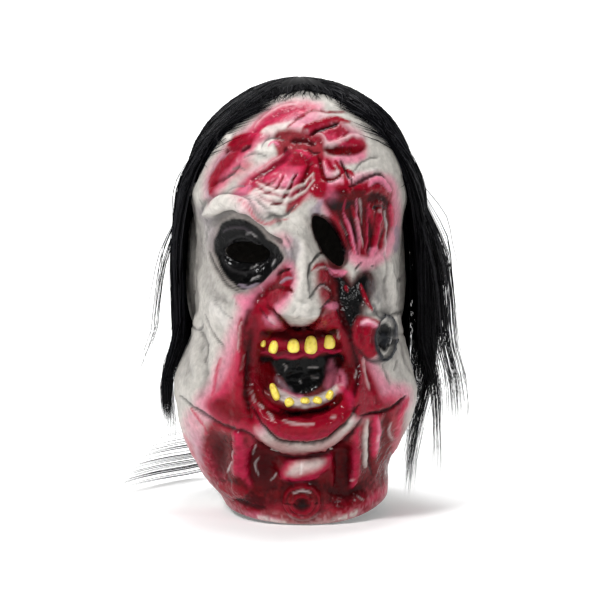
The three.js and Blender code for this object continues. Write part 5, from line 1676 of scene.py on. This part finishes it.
@dataclass
class Hair:
    """The long black hair: a dark bed close to the scalp and strands that fall along the locks."""

    form: HeadForm
    thickness: float = 6.0
    lock_breadth: float = 41.0
    lock_thickness: float = 9.0
    spread: float = 15.0
    # Real fibres are under 0.1 mm thick, so each strand stands for a few dozen of them
    fibre: float = 0.33
    stations: int = 18
    scalp_stations: int = 6
    tufts: int = 18
    # Distances from the head's axis at which a shift across becomes a turn, at the scalp and below it
    scalp_reach: float = 88.0
    fall_reach: float = 95.0
    # Top of the hair over the crown
    crown: float = 13.5
    floor_strands: int = 64
    fuzz_hairs: int = 260
    # Columns and rows of the cap, and of the curtain, which hangs between two turns in degrees
    cap_grid: tuple[int, int] = (120, 26)
    curtain_grid: tuple[int, int] = (90, 40)
    curtain_turns: tuple[float, float] = (112.0, 248.0)
    curtain_thickness: float = 1.2
    rng: np.random.Generator = field(default_factory=lambda: np.random.default_rng(SEED))
    left: tuple[Lock, ...] = (
        Lock(-55, -84, -84, 0.14, 0.78, 0.3, 0.05, 0.4, 0.8, 640),
        Lock(-84, -93, -92, 0.2, 0.8, 0.3, 0.05, 0.5, 0.8, 420),
        Lock(-102, -108, -108, 0.22, 0.72, 0.3, 0.1, 0.95, 1, 520),
        Lock(-80, -88, -90, 0.25, 0.87, 0.4, -0.2, 0.3, 0.8, 46),
        Lock(-88, -94, -104, 0.25, 0.74, 1.2, 1.9, 0.9, 0.8, 16),
    )
    back_left: tuple[Lock, ...] = (
        Lock(-126, -132, -134, 0.3, 0.76, 0.4, 0.6, 1.2, 1.1, 640),
        Lock(-148, -151, -150, 0.3, 0.9, 0.4, 0.7, 1.3, 1.2, 640),
        Lock(-171, -173, -170, 0.3, 0.97, 0.4, 0.8, 1.3, 1.2, 640),
    )
    back_right: tuple[Lock, ...] = (
        Lock(166, 165, 168, 0.3, 0.96, 0.4, 0.8, 1.3, 1.2, 640),
        Lock(143, 144, 146, 0.3, 0.92, 0.4, 0.7, 1.3, 1.2, 640),
        Lock(121, 126, 128, 0.28, 0.78, 0.5, 0.7, 1.2, 1.1, 560),
    )
    right: tuple[Lock, ...] = (
        Lock(101, 104, 104, 0.22, 0.74, 0.7, 0.8, 0.9, 1, 380),
        Lock(84, 88, 90, 0.2, 0.66, 0.6, 0.8, 0.7, 1, 420),
        Lock(55, 82, 84, 0.14, 0.64, 0.3, 0.5, 0.6, 0.9, 620),
        Lock(88, 91, 94, 0.2, 0.84, 1.5, 2.0, 1.3, 1.8, 150),
        Lock(84, 86, 82, 0.24, 0.94, 0.4, 0.8, 0.3, 0.8, 90),
        Lock(92, 96, 110, 0.22, 1.0, 1.6, -0.1, 0.5, 0.7, 170),
    )
    # The lock that lies out to the left beside the hem: turn, level, reach in shares of HEAD_DEPTH
    floor_route: tuple = (
        (-172, 0.5, 0.566), (-170, 0.75, 0.575), (-160, 0.94, 0.68), (-150, 0.985, 0.8),
        (-130, 0.987, 0.77), (-112, 0.987, 0.76),
    )

    def falls(self, lock: Lock) -> Points:
        """Paths of a lock's strands: over the scalp from the crown, then down outside the head.

        Each strand keeps a place across and through its lock. Strands gather in thin tufts that
        wander from side to side as they fall.

        Args:
            lock: The lock.

        Returns:
            Paths, one a strand, in millimetres.
        """
        rng, tufts, count = self.rng, self.tufts, lock.strands
        tuft = rng.integers(0, tufts, count)
        aside = (rng.uniform(-1, 1, tufts)[tuft] + rng.normal(0, 0.13, count)) * lock.broad
        aside = aside * self.lock_breadth / 2
        through = rng.uniform(-0.5, 0.5, count) * lock.thick * self.lock_thickness
        wave = rng.uniform(0, 2 * math.pi, tufts)[tuft] + rng.normal(0, 0.3, count)
        sway = rng.uniform(0.5, 2.2, tufts)[tuft] + rng.exponential(0.7, count)
        short = rng.exponential(0.08, count) + rng.exponential(0.05, tufts)[tuft]
        end = lock.end + 0.02 - (lock.end - lock.top) * short.clip(0, 0.55)
        share = np.linspace(0, 1, self.scalp_stations, endpoint=False)[None, :]
        edge = math.radians(abs(lock.start))
        root_turn = math.copysign(1, lock.start) * edge * rng.uniform(0.3, 1.05, count)
        root_level = lock.top * rng.uniform(0.03, 0.75, count) ** 2
        start_turn = math.radians(lock.start) + aside * 0.8 / self.scalp_reach
        level = (np.sqrt(root_level)[:, None] * (1 - share) + math.sqrt(lock.top) * share) ** 2
        turn = root_turn[:, None] * (1 - share**0.8) + start_turn[:, None] * share**0.8
        seat = 1.2 + self.thickness * 0.62 * rng.uniform(0, 1, count)
        over = self.form.off_head(turn, level, seat[:, None] * (0.35 + 0.65 * share**0.5))
        fall = np.linspace(0, 1, self.stations - self.scalp_stations)[None, :] ** 1.25
        level = lock.top + (end[:, None] - lock.top) * fall
        swing, drop = ease(-0.1, 0.5, fall), ease(0.3, 1, fall)
        middle = lock.start + (lock.middle - lock.start) * swing
        turn = np.radians(middle + (lock.tip - middle) * drop) + 0 * level
        early = lock.spread * ease(-0.05, 0.45, fall)
        spread = early + (lock.tip_spread - early) * drop
        reach = self.form.hang_reach(turn, level) + 2.6 + 4 * ease(0, 0.5, fall)
        reach = reach + self.spread * spread + through[:, None] * (0.35 + 0.65 * ease(0, 0.4, fall))
        narrow = 1 - 0.35 * ease(0.5, 1, fall)
        stray = sway[:, None] * np.sin(wave[:, None] + 5 * fall) * ease(0, 0.6, fall)
        turn = turn + (aside[:, None] * narrow + stray) / self.fall_reach
        reach = reach + sway[:, None] * 0.5 * np.cos(wave[:, None] * 3 + 6 * fall) * drop
        hang = round_axis(turn, reach, WALL - MASK_HEIGHT * level)
        return np.concatenate([over, hang], axis=1)

    def floor_fall(self, count: int) -> Points:
        """Paths of the strands that lie out on the left beside the hem, spread thinly at the end.

        Args:
            count: Number of strands.

        Returns:
            Paths, one a strand, in millimetres.
        """
        turn, level, reach = np.array(self.floor_route, float).T
        share = np.linspace(0, 1, len(turn))
        at = np.linspace(0, 1, self.stations)
        turn, level, reach = (cubic_table(share, column, at) for column in (turn, level, reach))
        turn = np.radians(turn) + self.rng.normal(0, 0.006, (count, 1)) * (0.3 + at)
        reach = reach * HEAD_DEPTH + self.rng.normal(0, 1.2, (count, 1)) * (0.3 + at)
        lift = self.rng.uniform(-2, 3, (count, 1)) * (1 - 0.4 * at)
        height = np.maximum(WALL - MASK_HEIGHT * level + lift, HEM + 1)
        length = self.rng.uniform(0.75, 1, (count, 1))
        paths = round_axis(turn, reach, height)
        return paths[:, :1] + (paths - paths[:, :1]) * length[..., None]

    def fuzz(self, count: int) -> Points:
        """Short fine hairs that stray over the forehead from the edge of the scalp.

        Args:
            count: Number of hairs.

        Returns:
            Paths, one a hair, in millimetres.
        """
        rng = self.rng
        turn = rng.uniform(-1.5, 1.5, count)
        edge = cubic_table(HAIRLINE[:, 0], HAIRLINE[:, 1], np.abs(np.degrees(turn)))
        share = np.linspace(0, 1, self.stations)[None, :]
        length = rng.uniform(0.004, 0.03, count)[:, None]
        level = edge[:, None] * 0.92 + length * share
        lean = turn[:, None] * 0.12 + rng.normal(0, 0.1, count)[:, None]
        turns = turn[:, None] + lean * share + 0.02 * np.sin(6 * share + turn[:, None] * 40)
        return self.form.off_head(turns, level, 5.5 - 4.6 * share + 0 * turns)

    def strands(self, name: str, paths: Points) -> bpy.types.Object:
        """Turns paths into thin closed three-sided strands that narrow toward the tip.

        Every ring of a strand stands square to the path, round its middle, and a point closes each end.

        Args:
            name: Name of the piece.
            paths: Paths in millimetres, one a strand.

        Returns:
            The piece.
        """
        count, stations, _ = paths.shape
        sides = 3
        ahead = unit(np.gradient(paths, axis=1))
        across = unit(np.cross(ahead, paths * np.array([1, 1, 0]) + np.array([0, 0, 1e-3])))
        away = np.cross(across, ahead)
        share = np.linspace(0, 1, stations)
        width = self.fibre * (1 - 0.7 * ease(0.6, 1, share)) * self.rng.uniform(0.6, 1.25, (count, 1))
        angle = np.arange(sides) * 2 * math.pi / sides
        ring = across[:, :, None] * np.cos(angle)[:, None] + away[:, :, None] * np.sin(angle)[:, None]
        rings = (paths[:, :, None] + ring * width[:, :, None, None])[:, 1:-1]
        middle = rings.reshape(count, -1, 3)
        points = np.concatenate([paths[:, :1], middle, paths[:, -1:]], axis=1)
        each = points.shape[1]
        shift = (np.arange(count) * each)[:, None, None]
        groups = [(shift + group).reshape(-1, group.shape[1]) for group in ring_faces(stations - 2, sides)]
        points[..., 2] = np.clip(points[..., 2], HEM + 0.4, self.crown)
        made = build_object(name, points.reshape(-1, 3), groups)
        tone = self.rng.random(count) ** 3
        set_attribute(made, "tone", np.repeat(tone, each))
        return made

    def bed(self) -> bpy.types.Object:
        """The dark mass under the strands: a cap on the scalp and a curtain inside the falls.

        The curtain is a closed sheet that stands off the head from the sides round the back.

        Returns:
            The piece.
        """
        columns, rows = self.cap_grid
        turn = np.linspace(0, 2 * math.pi, columns, endpoint=False)[None, :]
        degrees = np.abs((np.degrees(turn) + 180) % 360 - 180)
        edge = cubic_table(HAIRLINE[:, 0], HAIRLINE[:, 1], degrees)
        share = (np.arange(1, rows + 1) / rows)[:, None]
        level = edge * share**2
        turns = turn + 0 * level
        ripple = 0.6 * np.sin(turn * 47) + 0.4 * np.sin(turn * 31 + 2)
        top = self.form.off_head(turns, level, (2.6 + 0.6 * ripple) * (1 - 0.6 * share**4))
        under = self.form.off_head(turns, level, 0.9 + 0 * level)
        cap = MaskSkin.stack(np.concatenate([top, under[::-1]]))
        around = np.linspace(*np.radians(self.curtain_turns), self.curtain_grid[0])[None, :]
        down = np.linspace(0, 1, self.curtain_grid[1])[:, None]
        hang = 0.26 + (0.46 + 0.04 * np.sin(around * 37) + 0.03 * np.sin(around * 71 + 1)) * down
        waves = 1.6 * np.sin(around * 38 + 2 * down) + 1.1 * np.sin(around * 61)
        reach = self.form.hang_reach(around + 0 * hang, hang) + 2.5 + (5 + waves) * ease(0, 0.3, down)
        sheet = round_axis(around, reach, WALL - MASK_HEIGHT * hang)
        inner = sheet - round_axis(around, 1, 0 * around) * self.curtain_thickness
        curtain = MaskSkin.stack(np.concatenate([sheet, inner[:, ::-1]], axis=1))
        points, rings, sides = cap
        faces = list(ring_faces(rings, sides))
        faces += [group + len(points) for group in ring_faces(curtain[1], curtain[2])]
        made = build_object("hair_bed", np.concatenate([points, curtain[0]]), faces)
        set_attribute(made, "tone", np.zeros(len(points) + len(curtain[0])))
        return made

    @staticmethod
    def fibre_material() -> bpy.types.Material:
        """Drawn synthetic fibre, dyed black: sleek, with pale streaks where light runs along it.

        Returns:
            The material.
        """
        material, tree = new_material("black drawn synthetic fibre")
        tone = add_node(tree, "Attribute", out="Fac", attribute_name="tone")
        colour = add_node(
            tree, "Mix", {0: tone, 6: FIBRE_BLACK.rgba(), 7: FIBRE_STREAK.rgba()}, 2, data_type="RGBA"
        )
        sheen = add_node(tree, "MapRange", {"Value": tone, "To Min": 0.02, "To Max": 0.28})
        surface = add_node(
            tree, "BsdfPrincipled", {"Base Color": colour, "Roughness": 0.42, "Specular IOR Level": sheen}
        )
        add_node(tree, "OutputMaterial", {"Surface": surface})
        return material

    def build(self) -> list[bpy.types.Object]:
        """Builds the bed and the strands in pieces of fewer than 200,000 triangles.

        Returns:
            The pieces.
        """
        made = [self.bed()]
        for name, locks in (
            ("hair_left", self.left), ("hair_back_left", self.back_left),
            ("hair_back_right", self.back_right), ("hair_right", self.right),
        ):
            paths = [self.falls(lock) for lock in locks]
            if name == "hair_back_left":
                paths.append(self.floor_fall(self.floor_strands))
            if name == "hair_left":
                paths.append(self.fuzz(self.fuzz_hairs))
            made.append(self.strands(name, np.concatenate(paths)))
        fibre = self.fibre_material()
        for piece in made:
            piece.data.materials.append(fibre)
            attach(piece, "root")
            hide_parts("hair")
        return made


@dataclass
class Studio:
    """A white sweep and soft lights."""

    floor: float = HEM - 0.9
    width: float = 9000.0
    front: float = -1300.0
    back: float = 2600.0
    bend: float = 900.0
    wall: float = 4200.0
    world: float = 0.2
    # Lights: place and side in metres, power in watts, and the point that they look at
    lights: tuple = (
        ("key light", (-0.9, -1.15, 1.05), 0.36, 27.0),
        ("fill light", (1.3, -1.2, 0.3), 0.3, 6.0),
        ("top light", (0.1, 0.2, 1.7), 0.8, 24.0),
    )
    aim: tuple = (0, 0, -0.17)

    def sweep(self) -> bpy.types.Object:
        """The backdrop: a floor that bends up into a wall through a quarter circle, carried sideways.

        Returns:
            The piece, 20 mm thick.
        """
        angle = np.linspace(0, math.pi / 2, 24)
        y = np.concatenate([[self.front], self.back + self.bend * np.sin(angle), [self.back + self.bend]])
        z = np.concatenate([[0], self.bend * (1 - np.cos(angle)), [self.wall]]) + self.floor
        line = np.stack([y, z], axis=-1)
        below = line[::-1] + np.array([20.0, -20.0])
        loop = np.concatenate([line, below])
        ends = (-self.width, self.width)
        rings = np.stack([np.column_stack([np.full(len(loop), x), loop]) for x in ends])
        points, count, sides = MaskSkin.stack(rings)
        made = build_object("studio_sweep", points, list(ring_faces(count, sides)))
        made.data.shade_flat()
        material, tree = new_material("white paper with painted glow")
        # Painted light: the paper glows by itself, more with the distance behind the mask, as if lit from
        # behind
        place = add_node(tree, "TexCoord", out="Object")
        depth = add_node(tree, "SeparateXYZ", {"Vector": place}, "Y")
        painted_glow = add_node(
            tree, "MapRange",
            {"Value": depth, "From Min": -0.4, "From Max": 1.6, "To Min": 0.12, "To Max": 0.75},
            interpolation_type="SMOOTHSTEP",
        )
        paper = add_node(tree, "BsdfPrincipled", {
            "Base Color": PAPER_WHITE.rgba(), "Roughness": 0.9,
            "Emission Color": (1.0, 1.0, 1.0, 1.0), "Emission Strength": painted_glow,
        })
        add_node(tree, "OutputMaterial", {"Surface": paper})
        made.data.materials.append(material)
        return made

    def light(self, name: str, place: tuple, size: float, power: float) -> bpy.types.Object:
        """A square soft light that looks at the middle of the mask.

        Args:
            name: Name of the light.
            place: Its place in metres.
            size: Its side in metres.
            power: Its power in watts.

        Returns:
            The light.
        """
        data = bpy.data.lights.new(name, "AREA")
        data.size = size
        data.energy = power
        made = bpy.data.objects.new(name, data)
        bpy.context.scene.collection.objects.link(made)
        made.location = place
        aim = Vector(self.aim) - Vector(place)
        made.rotation_mode = "QUATERNION"
        made.rotation_quaternion = aim.to_track_quat("-Z", "Y")
        return made

    def build(self) -> None:
        """Makes the backdrop, the lights and the white surroundings."""
        self.sweep()
        [self.light(*row) for row in self.lights]
        world = bpy.data.worlds.new("white surroundings")
        bpy.context.scene.world = world
        world.use_nodes = True
        ground = world.node_tree.nodes["Background"]
        ground.inputs["Color"].default_value = (1.0, 1.0, 1.0, 1.0)
        ground.inputs["Strength"].default_value = self.world
        bpy.context.scene.view_settings.view_transform = "Standard"


def report(piece: bpy.types.Object) -> None:
    """Logs a piece with its number of triangles, its face corners less two for each face."""
    mesh = piece.data
    LOG.info("%s: %d triangles", piece.name, len(mesh.loops) - 2 * len(mesh.polygons))


def main() -> None:
    """Builds the mask, its surroundings and the camera."""
    logging.basicConfig(level=logging.INFO, format="%(name)s %(message)s")
    form = HeadForm()
    view = PhotoView()
    view.make_camera()
    report(MaskSkin(form, view).build())
    for piece in Teeth(form).build():
        report(piece)
    for piece in Hair(form).build():
        report(piece)
    Studio().build()


if __name__ == "__main__":
    main()
